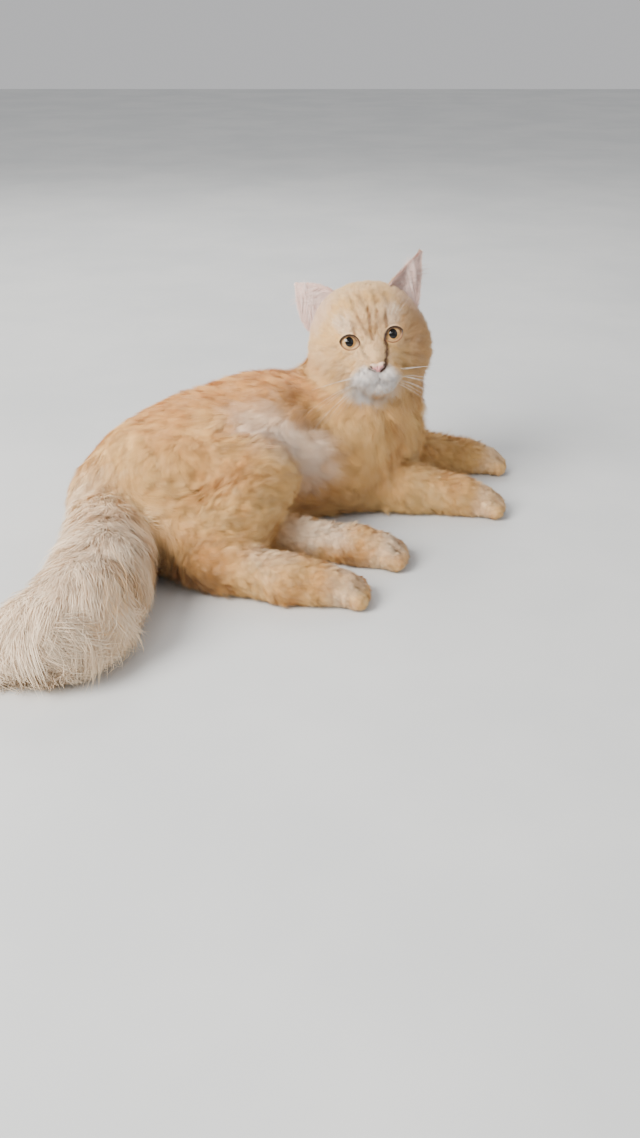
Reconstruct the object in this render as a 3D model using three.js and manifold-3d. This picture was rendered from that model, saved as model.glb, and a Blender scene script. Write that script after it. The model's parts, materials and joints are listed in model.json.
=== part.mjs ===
// A life-size Persian cat that lies half on its left hip, with its head raised and its tail laid round.
// Units are millimetres, +Z is up and the floor is z = 0. +X runs along the body towards the forepaws,
// and the viewer stands on the -Y side. Right and left are the cat's own: its right side faces the viewer.

import * as THREE from "three";
import { mergeVertices } from "three/addons/utils/BufferGeometryUtils.js";
import Module from "manifold-3d";

const wasm = await Module();
wasm.setup();

const point = (x, y, z) => new THREE.Vector3(x, y, z);
const UP = point(0, 0, 1);

// Clear space between pieces that touch, and round the head, whose room is cut out more coarsely
const GAP = 0.35;
const HEAD_CLEAR = 1.8;

// The coat's depth over the flesh: its dense part, which each solid's core takes in, and its tips
const COAT = {
  head: { tips: 7 },
  neck: { core: 7, tips: 16 },
  torso: { core: 3, tips: 8 },
  thigh: { core: 3, tips: 8 },
  leg: { core: 2.5, tips: 7 },
  foot: { core: 2 },
  tail: { core: 8, tips: 18 },
};

// Locks: how deep a root sits in its core, the least height over the floor, and the seed of the random draws
const ROOT_DEPTH = 5;
const FLOOR_CLEAR = 0.6;
const SEED = 36;

// How finely a ray looks for a surface, and how far a slope is measured
const RAY_STEP = 3;
const HALVINGS = 12;
const SLOPE_STEP = 0.5;

// Rounded masses: each is a function that gives the distance from a point to it, negative inside

const limb = (from, fromRadius, to, toRadius) => {
  const along = to.clone().sub(from);
  const lengthSquared = along.lengthSq();
  return (p) => {
    const share = THREE.MathUtils.clamp(p.clone().sub(from).dot(along) / lengthSquared, 0, 1);
    const centre = from.clone().addScaledVector(along, share);
    return p.distanceTo(centre) - THREE.MathUtils.lerp(fromRadius, toRadius, share);
  };
};

const egg = (centre, radii) => (p) => {
  const local = p.clone().sub(centre).divide(radii);
  const near = local.length();
  const slope = local.divide(radii).length();
  return slope < 1e-6 ? -radii.x : (near * (near - 1)) / slope;
};

const blend = (softness, masses) => (p) =>
  masses
    .map((mass) => mass(p))
    .reduce((a, b) => {
      const overlap = Math.max(softness - Math.abs(a - b), 0) / softness;
      return Math.min(a, b) - (overlap * overlap * softness) / 4;
    });

const grown = (mass, depth) => (p) => mass(p) - depth;

// The way out of a mass at a point, square to its surface
function outward(mass, p) {
  const step = (x, y, z) => mass(p.clone().add(point(x, y, z))) - mass(p.clone().sub(point(x, y, z)));
  return point(step(SLOPE_STEP, 0, 0), step(0, SLOPE_STEP, 0), step(0, 0, SLOPE_STEP)).normalize();
}

// The point where a ray from inside a mass leaves it
function skinPoint(mass, origin, direction, most) {
  const at = (distance) => origin.clone().addScaledVector(direction, distance);
  let outside = RAY_STEP;
  while (outside < most && mass(at(outside)) < 0) outside += RAY_STEP;
  let inside = outside - RAY_STEP;
  for (let i = 0; i < HALVINGS; i++) {
    const middle = (inside + outside) / 2;
    if (mass(at(middle)) < 0) inside = middle;
    else outside = middle;
  }
  return at(inside);
}

// A solid from a closed three.js geometry, without the triangles that a pole collapses
function solid(geometry) {
  const bare = new THREE.BufferGeometry();
  bare.setAttribute("position", geometry.getAttribute("position"));
  bare.setIndex(geometry.getIndex());
  const merged = mergeVertices(bare, 1e-4);
  const index = merged.getIndex().array;
  const kept = [];
  for (let i = 0; i < index.length; i += 3) {
    const [a, b, c] = [index[i], index[i + 1], index[i + 2]];
    if (a !== b && b !== c && a !== c) kept.push(a, b, c);
  }
  return new wasm.Manifold(
    new wasm.Mesh({
      numProp: 3,
      vertProperties: merged.getAttribute("position").array,
      triVerts: new Uint32Array(kept),
    }),
  );
}

function geometryOf(made) {
  const mesh = made.getMesh();
  const geometry = new THREE.BufferGeometry();
  geometry.setAttribute("position", new THREE.BufferAttribute(mesh.vertProperties, 3));
  geometry.setIndex(new THREE.BufferAttribute(mesh.triVerts, 1));
  geometry.computeVertexNormals();
  return geometry;
}

const cutBy = (made, others) => others.reduce((left, other) => left.subtract(other), made);
const joined = (solids) => solids.reduce((all, next) => all.add(next));
const largest = (made) =>
  made.decompose().reduce((best, next) => (next.volume() > best.volume() ? next : best));

// A capsule bent along a line of points, with each corner moved out to the surface of a mass
function wrapped(mass, { line, sides, rings, caps = 3, most = 100, upHint = UP }) {
  const curve = new THREE.CatmullRomCurve3(line, false, "centripetal");
  const capsule = new THREE.CapsuleGeometry(1, 2, caps, sides, rings);
  const corners = capsule.getAttribute("position");
  const corner = new THREE.Vector3();
  for (let i = 0; i < corners.count; i++) {
    corner.fromBufferAttribute(corners, i);
    const onAxis = THREE.MathUtils.clamp(corner.y, -1, 1);
    const along = curve.getTangentAt((onAxis + 1) / 2);
    const side = along.clone().cross(upHint).normalize();
    const up = side.clone().cross(along);
    const direction = new THREE.Vector3()
      .addScaledVector(side, corner.x)
      .addScaledVector(along, corner.y - onAxis)
      .addScaledVector(up, corner.z)
      .normalize();
    const found = skinPoint(mass, curve.getPointAt((onAxis + 1) / 2), direction, most);
    corners.setXYZ(i, found.x, found.y, found.z);
  }
  return capsule;
}

// A sphere about a centre, with its pole turned to face a way and its corners moved out to a mass
function domed(mass, centre, facing, sides, rings, most = 90) {
  const sphere = new THREE.SphereGeometry(1, sides, rings);
  const turn = new THREE.Quaternion().setFromUnitVectors(point(0, 1, 0), facing.clone().normalize());
  sphere.applyQuaternion(turn);
  const corners = sphere.getAttribute("position");
  const corner = new THREE.Vector3();
  for (let i = 0; i < corners.count; i++) {
    corner.fromBufferAttribute(corners, i).normalize();
    const found = skinPoint(mass, centre, corner, most);
    corners.setXYZ(i, found.x, found.y, found.z);
  }
  return sphere;
}

// The head, in its own frame: x to the cat's right, y out through the nose, z to the crown
const HEAD = {
  centre: point(48, 82, 174),
  facing: point(0.05, -0.955, 0.285),
  roll: THREE.MathUtils.degToRad(9.5),
};
const EYE = {
  apart: 21.5, forward: 28.5, height: 1.5, radius: 11,
  lid: 1.5, opening: 9.8, tall: 7.6, tilt: 0.28,
};
const NOSE_TIP = point(0, 53, -26);

const headPlace = (() => {
  const y = HEAD.facing.clone().normalize();
  const level = y.clone().cross(UP).normalize();
  const upright = level.clone().cross(y);
  const x = level.clone().multiplyScalar(Math.cos(HEAD.roll)).addScaledVector(upright, -Math.sin(HEAD.roll));
  const z = upright.clone().multiplyScalar(Math.cos(HEAD.roll)).addScaledVector(level, Math.sin(HEAD.roll));
  return new THREE.Matrix4().makeBasis(x, y, z).setPosition(HEAD.centre);
})();

const bothSides = (make) => [make(1), make(-1)];
const eyeCentre = (s) => point(s * EYE.apart, EYE.forward, EYE.height);

const skull = blend(12, [
  egg(point(0, -6, 11), point(53, 48, 45)),
  ...bothSides((s) => egg(point(s * 30, 2, -10), point(30, 31, 33))),
  egg(point(0, 8, -30), point(36, 34, 24)),
  egg(point(0, 26, -18), point(25, 22, 22)),
  ...bothSides((s) => limb(point(s * 10, 30, 19), 9, point(s * 27, 22, 17), 9)),
]);
const face = blend(6, [
  skull,
  limb(point(0, 30, 9), 9, point(0, 46, -20), 6.5),
  ...bothSides((s) => egg(point(s * 9.5, 40, -34), point(12, 12, 10))),
  egg(point(0, 38, -45), point(11, 10, 8)),
  ...bothSides((s) => egg(eyeCentre(s), point(1, 1, 1).multiplyScalar(EYE.radius + GAP + EYE.lid))),
]);
const nosePad = blend(3, [
  ...bothSides((s) => egg(NOSE_TIP.clone().add(point(s * 4, -1.5, 1.5)), point(4, 3, 3))),
  egg(NOSE_TIP.clone().add(point(0, -1.5, -2)), point(3, 3, 3)),
]);

const ball = (centre, radius, sides = 12, rings = 9) =>
  solid(new THREE.SphereGeometry(radius, sides, rings).translate(centre.x, centre.y, centre.z));

// The almond opening between the lids, cut straight out through the front of the eye
function lidOpening(s) {
  const [wide, tall] = [EYE.opening, EYE.tall * 1.25];
  const shape = new THREE.Shape();
  shape.moveTo(-wide, 0);
  shape.bezierCurveTo(-wide * 0.6, tall, wide * 0.6, tall, wide, 0);
  shape.bezierCurveTo(wide * 0.6, -tall, -wide * 0.6, -tall, -wide, 0);
  const cutter = new THREE.ExtrudeGeometry(shape, { depth: 30, bevelEnabled: false, curveSegments: 5 });
  cutter.rotateZ(-s * EYE.tilt);
  cutter.rotateX(-Math.PI / 2);
  cutter.rotateZ(-s * 0.12);
  const centre = eyeCentre(s);
  cutter.translate(centre.x, centre.y, centre.z);
  return solid(cutter);
}

// A thin groove along a line of (x, z) places on the front of the muzzle
function groove(places, radius) {
  const onFace = places.map(([x, z]) => skinPoint(face, point(x, 10, z), point(0, 1, 0), 90));
  const path = new THREE.CatmullRomCurve3(onFace);
  const section = new THREE.Shape().absarc(0, 0, radius, 0, Math.PI * 2);
  return solid(
    new THREE.ExtrudeGeometry(section, {
      extrudePath: path, steps: 2 * places.length, curveSegments: 3, bevelEnabled: false,
    }),
  );
}

const noseDome = (depth) =>
  domed(grown(nosePad, depth), NOSE_TIP.clone().add(point(0, -1.5, 0)), point(0, 1, 0), 10, 7);
const headDome = (depth, sides = 30, rings = 20) =>
  domed(grown(face, depth), point(0, 8, -14), point(0, 1, -0.12), sides, rings);
const headSolid = cutBy(solid(headDome(0)), [
  ...bothSides((s) => ball(eyeCentre(s), EYE.radius + GAP)),
  ...bothSides(lidOpening),
  solid(noseDome(GAP)),
  groove([[0, -31], [0, -35], [0, -39]], 0.9),
  ...bothSides((s) => groove([[0, -39], [s * 6, -42.5], [s * 12, -42], [s * 18, -38]], 1)),
]);

// An ear is a cupped, pointed shell that stands up its own z and opens towards its own y
function earPoint({ width, height, cup, thick, lean, bulge }, across, layer, share) {
  const half = (width / 2) * Math.max(0.09, 1 - Math.pow(share, bulge));
  const most = cup * (1 - 0.45 * share);
  const radius = half / Math.sin(most);
  const inner = radius - layer * thick * (1 - 0.5 * share);
  const bend = across * most;
  return point(
    inner * Math.sin(bend),
    radius * Math.cos(most) - inner * Math.cos(bend) + lean * share * share,
    share * height,
  );
}
// The long hair inside an ear: locks that start in its shell and spread out of the cup
const TUFT = { across: [-0.55, 0, 0.55], share: 0.2, length: 28, out: 9, spread: 1, width: 10, thick: 3 };
function earTufts(ear) {
  return TUFT.across.map((across) => {
    const root = earPoint(ear, across, 0, TUFT.share);
    const places = [0, 1 / 3, 2 / 3, 1].map((share) =>
      root.clone().add(point(
        across * TUFT.spread * share,
        TUFT.out * Math.sqrt(share),
        TUFT.length * share * (1 - 0.25 * Math.abs(across)),
      )));
    return { line: { places, ups: places.map(() => point(0, 1, 0)) }, size: TUFT };
  });
}
function earShell(ear) {
  const shell = new THREE.BoxGeometry(1, 1, 1, 6, 1, 5);
  const corners = shell.getAttribute("position");
  for (let i = 0; i < corners.count; i++) {
    const place = earPoint(ear, 2 * corners.getX(i), corners.getY(i), corners.getZ(i) + 0.5);
    corners.setXYZ(i, place.x, place.y, place.z);
  }
  return shell;
}
const EAR = { width: 45, height: 56, cup: 1.05, thick: 3, lean: -3 };
const EARS = {
  ear_right: { base: point(37, -8, 32), up: point(21, -30, 33), opening: point(0.5, 0.85, 0.3), bulge: 1.9 },
  ear_left: { base: point(-38, -6, 30), up: point(-30, -8, 42), opening: point(-0.7, 0.7, 0.1), bulge: 1.35 },
};
function earPlace({ base, up, opening }) {
  const z = up.clone().normalize();
  const x = opening.clone().cross(z).normalize();
  const y = z.clone().cross(x);
  return new THREE.Matrix4().makeBasis(x, y, z).setPosition(base);
}

// The body: the joints of its near hind leg, and the trunk
const HIP = point(-168, -18, 72);
const KNEE = point(-58, -30, 76);
const HOCK = point(-97, -112, 26);
const INSTEP = point(-31, -135, 21);

const trunk = blend(28, [
  limb(point(-205, -30, 50), 36, point(-165, -8, 66), 48),
  limb(point(-165, -8, 66), 48, point(-120, 25, 72), 56),
  limb(point(-120, 25, 72), 56, point(-60, 62, 76), 60),
  limb(point(-60, 62, 76), 60, point(20, 92, 74), 58),
  limb(point(20, 92, 74), 58, point(62, 100, 70), 44),
  limb(point(-100, 20, 42), 42, point(10, 65, 40), 40),
  limb(point(36, 62, 90), 32, point(32, 64, 44), 28),
  limb(point(42, 128, 88), 32, point(46, 138, 44), 28),
]);
// Each part's own mass of flesh, the line down its middle, and how finely it is faceted
const PARTS = {
  torso: {
    mass: trunk,
    coat: COAT.torso,
    line: [
      point(-205, -30, 54), point(-120, 22, 66), point(-60, 58, 66), point(10, 88, 66), point(58, 98, 66),
    ],
    sides: 20, rings: 9,
  },
  neck: {
    mass: blend(20, [
      limb(point(46, 102, 92), 46, point(45, 94, 138), 45),
      limb(point(45, 94, 138), 45, point(46, 91, 152), 40),
    ]),
    coat: COAT.neck,
    line: [point(46, 98, 96), point(46, 93, 150)],
    sides: 18, rings: 5, upHint: point(0, 1, 0),
  },
  thigh_right: {
    mass: blend(22, [limb(HIP, 42, KNEE, 33), limb(point(-168, -52, 46), 40, point(-116, -82, 38), 33)]),
    coat: COAT.thigh,
    line: [point(-170, -34, 62), point(-115, -52, 56), point(-66, -38, 66)],
    sides: 16, rings: 7,
  },
  shank_right: {
    mass: blend(16, [limb(KNEE, 31, point(-80, -74, 48), 32), limb(point(-80, -74, 48), 32, HOCK, 24)]),
    coat: COAT.leg,
    line: [KNEE, point(-80, -74, 48), HOCK],
    sides: 14, rings: 5,
  },
  foot_right: {
    mass: blend(10, [limb(HOCK, 22, INSTEP, 19.5), limb(INSTEP, 19.5, point(-2, -137, 18), 16)]),
    coat: COAT.foot,
    line: [HOCK, INSTEP, point(-2, -137, 17)],
    sides: 12, rings: 4,
  },
  thigh_left: {
    mass: limb(point(-172, 18, 34), 36, point(-80, -2, 30), 28),
    coat: COAT.thigh,
    line: [point(-172, 18, 34), point(-80, -2, 30)],
    sides: 10, rings: 3,
  },
  foot_left: {
    mass: limb(point(-62, -40, 22), 20, point(36, -62, 17), 15),
    coat: COAT.foot,
    line: [point(-62, -40, 22), point(36, -62, 17)],
    sides: 12, rings: 3,
  },
  foreleg_right: {
    mass: blend(10, [
      limb(point(30, 68, 29), 26, point(90, 59, 24), 22),
      limb(point(90, 59, 24), 22, point(146, 50, 19), 16.5),
    ]),
    coat: COAT.leg,
    line: [point(30, 68, 28), point(90, 59, 23), point(146, 50, 18)],
    sides: 12, rings: 4,
  },
  foreleg_left: {
    mass: blend(10, [
      limb(point(46, 146, 29), 26, point(110, 156, 23), 21),
      limb(point(110, 156, 23), 21, point(164, 160, 18), 16),
    ]),
    coat: COAT.leg,
    line: [point(46, 146, 28), point(110, 156, 22), point(164, 160, 18)],
    sides: 12, rings: 4,
  },
  tail_base: {
    mass: blend(14, [
      limb(point(-205, -52, 46), 26, point(-190, -100, 43), 27),
      limb(point(-190, -100, 43), 27, point(-188, -155, 42), 28),
      limb(point(-190, -100, 28), 22, point(-188, -155, 28), 22),
    ]),
    coat: COAT.tail,
    line: [point(-205, -52, 46), point(-190, -100, 38), point(-188, -155, 36)],
    sides: 12, rings: 4,
  },
  tail_middle: {
    mass: blend(14, [
      limb(point(-188, -157, 42), 28, point(-193, -215, 41), 28),
      limb(point(-188, -157, 28), 22, point(-193, -215, 28), 22),
    ]),
    coat: COAT.tail,
    line: [point(-188, -157, 36), point(-193, -215, 35)],
    sides: 12, rings: 3,
  },
  tail_tip: {
    mass: blend(14, [
      limb(point(-193, -217, 41), 28, point(-212, -246, 38), 24),
      limb(point(-193, -217, 28), 22, point(-212, -246, 27), 20),
      limb(point(-212, -246, 36), 24, point(-249, -262, 26), 12),
      limb(point(-249, -262, 26), 12, point(-276, -264, 20), 4),
    ]),
    coat: COAT.tail,
    line: [point(-193, -217, 35), point(-212, -246, 33), point(-249, -262, 26), point(-274, -264, 20)],
    sides: 12, rings: 6,
  },
};

// A paw: a pad of the foot with four toes in a fan
function paw(centre, heading, size) {
  const along = point(Math.cos(heading), Math.sin(heading), 0);
  const across = point(-along.y, along.x, 0);
  const spot = (ahead, aside, high) =>
    centre.clone()
      .addScaledVector(along, ahead * size)
      .addScaledVector(across, aside * size)
      .setZ(high * size);
  const toes = [-0.78, -0.28, 0.28, 0.78].map((aside) =>
    limb(
      spot(0.5, aside * 0.8, 0.62), 0.42 * size,
      spot(1.28 - 0.35 * aside * aside, aside * 0.9, 0.44), 0.4 * size,
    ));
  const pad = limb(spot(-0.9, 0, 0.95), 0.95 * size, spot(0.35, 0, 0.72), 0.86 * size);
  return {
    mass: blend(0.3 * size, [pad, ...toes]),
    coat: COAT.foot,
    line: [spot(-0.6, 0, 0.7), spot(1.05, 0, 0.5)],
    sides: 16, rings: 4,
  };
}
PARTS.forepaw_right = paw(point(166, 47, 0), -0.14, 17);
PARTS.forepaw_left = paw(point(184, 158, 0), -0.05, 17);
PARTS.hindpaw_right = paw(point(20, -138, 0), -0.06, 17);
PARTS.hindpaw_left = paw(point(57, -66, 0), -0.12, 16.5);

// Each part of the body gives way to those before it in this order
const ORDER = [
  "torso", "neck", "thigh_right", "shank_right", "hindpaw_right", "foot_right", "thigh_left",
  "hindpaw_left", "foot_left", "forepaw_right", "foreleg_right", "forepaw_left", "foreleg_left",
  "tail_base", "tail_middle", "tail_tip",
];
const coreMass = (name, extra = 0) => grown(PARTS[name].mass, PARTS[name].coat.core + extra);
const headInverse = headPlace.clone().invert();
const headMass = (p) => face(p.clone().applyMatrix4(headInverse));
const SURFACES = { head: headMass };
for (const name of ORDER) SURFACES[name] = coreMass(name);
const whole = (p) => Math.min(...Object.values(SURFACES).map((surface) => surface(p)));

// A seeded draw, so that the coat comes out the same each time
function seeded(seed) {
  let state = seed;
  return () => {
    state = (state + 0x6d2b79f5) | 0;
    let mixed = Math.imul(state ^ (state >>> 15), 1 | state);
    mixed = (mixed + Math.imul(mixed ^ (mixed >>> 7), 61 | mixed)) ^ mixed;
    return ((mixed ^ (mixed >>> 14)) >>> 0) / 4294967296;
  };
}

// The line of a lock: it starts in the flesh and lies over the whole body's surface, rising to its tip
function lockLine(root, flow, { length, rise, curl }) {
  const places = [];
  const ups = [];
  const at = root.clone();
  const heading = flow.clone();
  for (const [share, height] of [[0, -ROOT_DEPTH], [1 / 3, 0.55 * rise], [2 / 3, 0.9 * rise], [1, rise]]) {
    if (share > 0) at.addScaledVector(heading, length / 3);
    let up = outward(whole, at);
    for (let i = 0; i < 3; i++) {
      at.addScaledVector(up, height - whole(at));
      up = outward(whole, at);
    }
    places.push(at.clone());
    ups.push(up);
    heading.addScaledVector(up, -heading.dot(up)).normalize().applyAxisAngle(up, curl / 3);
  }
  return { places, ups };
}

// A lock is a flat three-sided cone along its line, with its ridge outwards. It is nearly as full at its
// middle as at its root.
const FULLNESS = [0.9, 0.95];
function lock({ places, ups }, { width, thick }, extra = 0) {
  const cone = new THREE.ConeGeometry(1, 1, 3, 2);
  const curve = new THREE.CatmullRomCurve3(places);
  const corners = cone.getAttribute("position");
  const end = ups.length - 1;
  for (let i = 0; i < corners.count; i++) {
    const share = corners.getY(i) + 0.5;
    const angle = Math.atan2(corners.getX(i), corners.getZ(i));
    const along = curve.getTangent(share);
    const up = ups[Math.round(share * end)].clone();
    const side = along.clone().cross(up).normalize();
    up.copy(side).cross(along);
    const onAxis = Math.hypot(corners.getX(i), corners.getZ(i)) < 1e-6;
    const fullness = onAxis ? 0 : FULLNESS[Math.round(share * 2)];
    const place = curve.getPoint(share)
      .addScaledVector(side, Math.sin(angle) * fullness * (width / Math.sqrt(3) + 2 * extra))
      .addScaledVector(up, Math.cos(angle) * fullness * (thick / 1.5 + 2 * extra))
      .addScaledVector(along, share === 1 ? 3 * extra : 0);
    place.z = Math.max(place.z, FLOOR_CLEAR - extra);
    corners.setXYZ(i, place.x, place.y, place.z);
  }
  return cone;
}

// How the coat lies and how its locks are spaced: rows go along a part's line and columns round it
const down = (share) => UP.clone().multiplyScalar(-share);
const COVER = {
  neck: {
    rows: 4, columns: 18, from: -0.1, to: 1.05, length: 46, width: 19, thick: 6, curl: 0.4,
    flow: ({ along, out }) => along.multiplyScalar(-1).addScaledVector(out, 0.2),
  },
  torso: {
    rows: 8, columns: 12, from: -0.05, to: 1.15, length: 58, width: 27, thick: 5, curl: 0.35,
    flow: ({ along, share }) => along.multiplyScalar(share > 0.85 ? -0.2 : -1).add(down(0.45)),
  },
  thigh_right: {
    rows: 6, columns: 11, from: -0.05, to: 1.02, length: 46, width: 20, thick: 5, curl: 0.35,
    flow: () => point(-0.45, -0.35, -0.75),
  },
  shank_right: {
    rows: 4, columns: 8, from: 0.05, to: 0.85, length: 34, width: 16, thick: 4, curl: 0.35,
    flow: () => point(-0.6, -0.35, -0.6),
  },
  tail_base: {
    rows: 3, columns: 8, from: 0.1, to: 0.95, length: 52, width: 24, thick: 7, curl: 0.4,
    flow: ({ along }) => along,
  },
  tail_middle: {
    rows: 2, columns: 8, from: 0, to: 1, length: 50, width: 24, thick: 7, curl: 0.4,
    flow: ({ along }) => along,
  },
  tail_tip: {
    rows: 4, columns: 8, from: 0, to: 1.1, length: 44, width: 24, thick: 6, curl: 0.4,
    flow: ({ along }) => along,
  },
};

// Roots stand clear of the parts that cover them and of the floor
const ROOT_CLEAR = 3;
const LOWEST_ROOT = 8;
const isOpen = (name, root) =>
  root.z > LOWEST_ROOT &&
  Object.entries(SURFACES).every(([other, surface]) => other === name || surface(root) > ROOT_CLEAR);

function locksOf(name) {
  const random = seeded(SEED + name.length);
  const spread = (amount) => 1 + amount * (2 * random() - 1);
  const { line, upHint = UP, coat } = PARTS[name];
  const { rows, columns, from, to, length, width, thick, curl, flow } = COVER[name];
  const curve = new THREE.CatmullRomCurve3(line, false, "centripetal");
  const found = [];
  for (let row = 0; row < rows; row++) {
    for (let column = 0; column < columns; column++) {
      const share = from + ((row + 0.5 + 0.3 * (random() - 0.5)) / rows) * (to - from);
      const angle = ((column + (row % 2) / 2 + 0.3 * (random() - 0.5)) / columns) * 2 * Math.PI;
      const size = { width: width * spread(0.2), thick: thick * spread(0.2) };
      const shape = {
        length: length * spread(0.2), rise: coat.tips - coat.core, curl: curl * (2 * random() - 1),
      };
      const onLine = THREE.MathUtils.clamp(share, 0, 1);
      const along = curve.getTangentAt(onLine);
      const side = along.clone().cross(upHint).normalize();
      const direction = side.clone().multiplyScalar(Math.cos(angle));
      direction.addScaledVector(side.clone().cross(along), Math.sin(angle));
      direction.addScaledVector(along, 5 * (share - onLine)).normalize();
      const root = skinPoint(SURFACES[name], curve.getPointAt(onLine), direction, 120);
      if (!isOpen(name, root)) continue;
      const out = outward(SURFACES[name], root);
      const heading = flow({ along: along.clone(), out, share });
      heading.addScaledVector(out, -heading.dot(out)).normalize();
      found.push({ line: lockLine(root, heading, shape), size });
    }
  }
  return found;
}

// The locks of the cheeks, set in two arcs behind the face on each side
const CHEEK = { arcs: [8, -10], from: 0.3, to: -1.15, count: 4, length: 34, width: 19, thick: 7, curl: 0.4 };
function cheekLocks() {
  const random = seeded(SEED);
  const found = [];
  for (const s of [1, -1]) {
    CHEEK.arcs.forEach((forward, arc) => {
      for (let i = 0; i < CHEEK.count; i++) {
        const share = (i + 0.5 * arc + 0.3 * (random() - 0.5)) / (CHEEK.count - 0.5);
        const angle = THREE.MathUtils.lerp(CHEEK.from, CHEEK.to, share);
        const from = point(0, forward, -12).applyMatrix4(headPlace);
        const direction = point(s * Math.cos(angle), 0, Math.sin(angle)).transformDirection(headPlace);
        const root = skinPoint(headMass, from, direction, 90);
        const out = outward(headMass, root);
        const heading = point(s * 0.15, -0.5, -0.8).transformDirection(headPlace);
        heading.addScaledVector(out, -heading.dot(out)).normalize();
        const shape = { length: CHEEK.length, rise: COAT.head.tips, curl: CHEEK.curl * (2 * random() - 1) };
        found.push({ line: lockLine(root, heading, shape), size: CHEEK });
      }
    });
  }
  return found;
}

const group = new THREE.Group();
const finishes = {
  coat: new THREE.MeshStandardMaterial({ color: 0xd9b27c, roughness: 0.9 }),
  pale: new THREE.MeshStandardMaterial({ color: 0xe6d3bd, roughness: 0.95 }),
  eye: new THREE.MeshStandardMaterial({ color: 0xb98a45, roughness: 0.05 }),
  nose: new THREE.MeshStandardMaterial({ color: 0xd08f86, roughness: 0.5 }),
};
const addNode = (name, made, finish, parent = group) => {
  const mesh = new THREE.Mesh(geometryOf(largest(made)), finishes[finish]);
  mesh.name = name;
  parent.add(mesh);
};

// Every part's core, and the room that it needs round it
const floorBlock = solid(new THREE.BoxGeometry(2000, 2000, 200).translate(0, 0, -100));
const rooms = { head: solid(headDome(HEAD_CLEAR, 24, 16).applyMatrix4(headPlace)) };
for (const name of ORDER) rooms[name] = solid(wrapped(coreMass(name, GAP), PARTS[name]));
const cores = {};
ORDER.forEach((name, i) => {
  const body = solid(wrapped(coreMass(name), PARTS[name]));
  cores[name] = cutBy(body, [rooms.head, ...ORDER.slice(0, i).map((other) => rooms[other]), floorBlock]);
});

// The coat lies from the head backwards, so the locks of each part lie over those of the parts after it
const LIE = [
  "head", "neck", "torso", "thigh_right", "shank_right", "tail_base", "tail_middle", "tail_tip",
];
const locksRooms = [];
const locks = {};
for (const name of LIE) {
  const drawn = name === "head" ? cheekLocks() : locksOf(name);
  const made = joined(drawn.map(({ line, size }) => solid(lock(line, size))));
  const others = Object.keys(rooms).filter((other) => other !== name).map((other) => rooms[other]);
  locks[name] = cutBy(made, [...others, ...locksRooms, floorBlock]);
  locksRooms.push(joined(drawn.map(({ line, size }) => solid(lock(line, size, GAP)))));
}

const headGroup = new THREE.Group();
headGroup.applyMatrix4(headPlace);
group.add(headGroup);
const headLocks = solid(geometryOf(locks.head).applyMatrix4(headInverse));
addNode("head", headSolid.add(headLocks), "coat", headGroup);
addNode("eye_right", ball(eyeCentre(1), EYE.radius), "eye", headGroup);
addNode("eye_left", ball(eyeCentre(-1), EYE.radius), "eye", headGroup);
addNode("nose", solid(noseDome(0)), "nose", headGroup);
for (const [name, ear] of Object.entries(EARS)) {
  const shape = { ...EAR, bulge: ear.bulge };
  const place = earPlace(ear);
  const tufts = earTufts(shape).map(({ line, size }) => solid(lock(line, size).applyMatrix4(place)));
  const shell = solid(earShell(shape).applyMatrix4(place));
  addNode(name, cutBy(shell.add(joined(tufts)), [solid(headDome(GAP))]), "pale", headGroup);
}
for (const name of ORDER) {
  const made = locks[name] ? cores[name].add(locks[name]) : cores[name];
  addNode(name, made, name.startsWith("tail") ? "pale" : "coat");
}

// The origin is the middle of the cat's box, at the floor
const box = new THREE.Box3().setFromObject(group, true);
const middle = box.getCenter(new THREE.Vector3());
group.position.set(-middle.x, -middle.y, -box.min.z);

export default group;
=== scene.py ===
# A life-size Persian cat that lies half on its left hip, head raised and tail laid round in front.
# Its forms are in millimetres in a working frame, whose floor is z = 0, and become metres in the meshes.
# +X runs along the body towards the forepaws. Right and left are the cat's own.

import json
import math

import bpy
import numpy as np
from mathutils import Matrix, Vector
from mathutils.kdtree import KDTree

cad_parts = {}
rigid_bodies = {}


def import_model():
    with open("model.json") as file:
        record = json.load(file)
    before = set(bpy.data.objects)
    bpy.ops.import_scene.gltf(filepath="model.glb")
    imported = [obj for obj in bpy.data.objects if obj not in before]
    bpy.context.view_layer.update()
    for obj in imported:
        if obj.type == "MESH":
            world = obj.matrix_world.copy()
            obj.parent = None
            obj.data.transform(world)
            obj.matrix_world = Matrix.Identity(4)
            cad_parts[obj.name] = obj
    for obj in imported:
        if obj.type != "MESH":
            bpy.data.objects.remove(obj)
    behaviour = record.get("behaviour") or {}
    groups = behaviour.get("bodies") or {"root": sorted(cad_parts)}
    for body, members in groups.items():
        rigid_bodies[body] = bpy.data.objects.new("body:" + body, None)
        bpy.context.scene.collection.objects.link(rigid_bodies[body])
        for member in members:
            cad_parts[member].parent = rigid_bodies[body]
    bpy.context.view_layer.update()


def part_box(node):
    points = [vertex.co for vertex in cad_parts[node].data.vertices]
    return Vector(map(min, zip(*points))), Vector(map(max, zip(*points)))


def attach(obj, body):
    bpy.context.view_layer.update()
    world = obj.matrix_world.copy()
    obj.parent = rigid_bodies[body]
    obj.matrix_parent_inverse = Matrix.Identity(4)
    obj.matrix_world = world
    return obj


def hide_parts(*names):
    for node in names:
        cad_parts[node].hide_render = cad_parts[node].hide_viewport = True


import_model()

MM = 0.001

# The head's place, and where the working frame lies in the finished one

HEAD_CENTRE = np.array((48.0, 82.0, 174.0))
HEAD_FACING = np.array((0.05, -0.955, 0.285))
HEAD_ROLL = math.radians(9.5)
EYE_APART, EYE_FORWARD, EYE_HEIGHT, EYE_RADIUS = 21.5, 28.5, 1.5, 11.0


def unit(vectors):
    return vectors / np.maximum(np.linalg.norm(vectors, axis=-1, keepdims=True), 1e-9)


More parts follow.
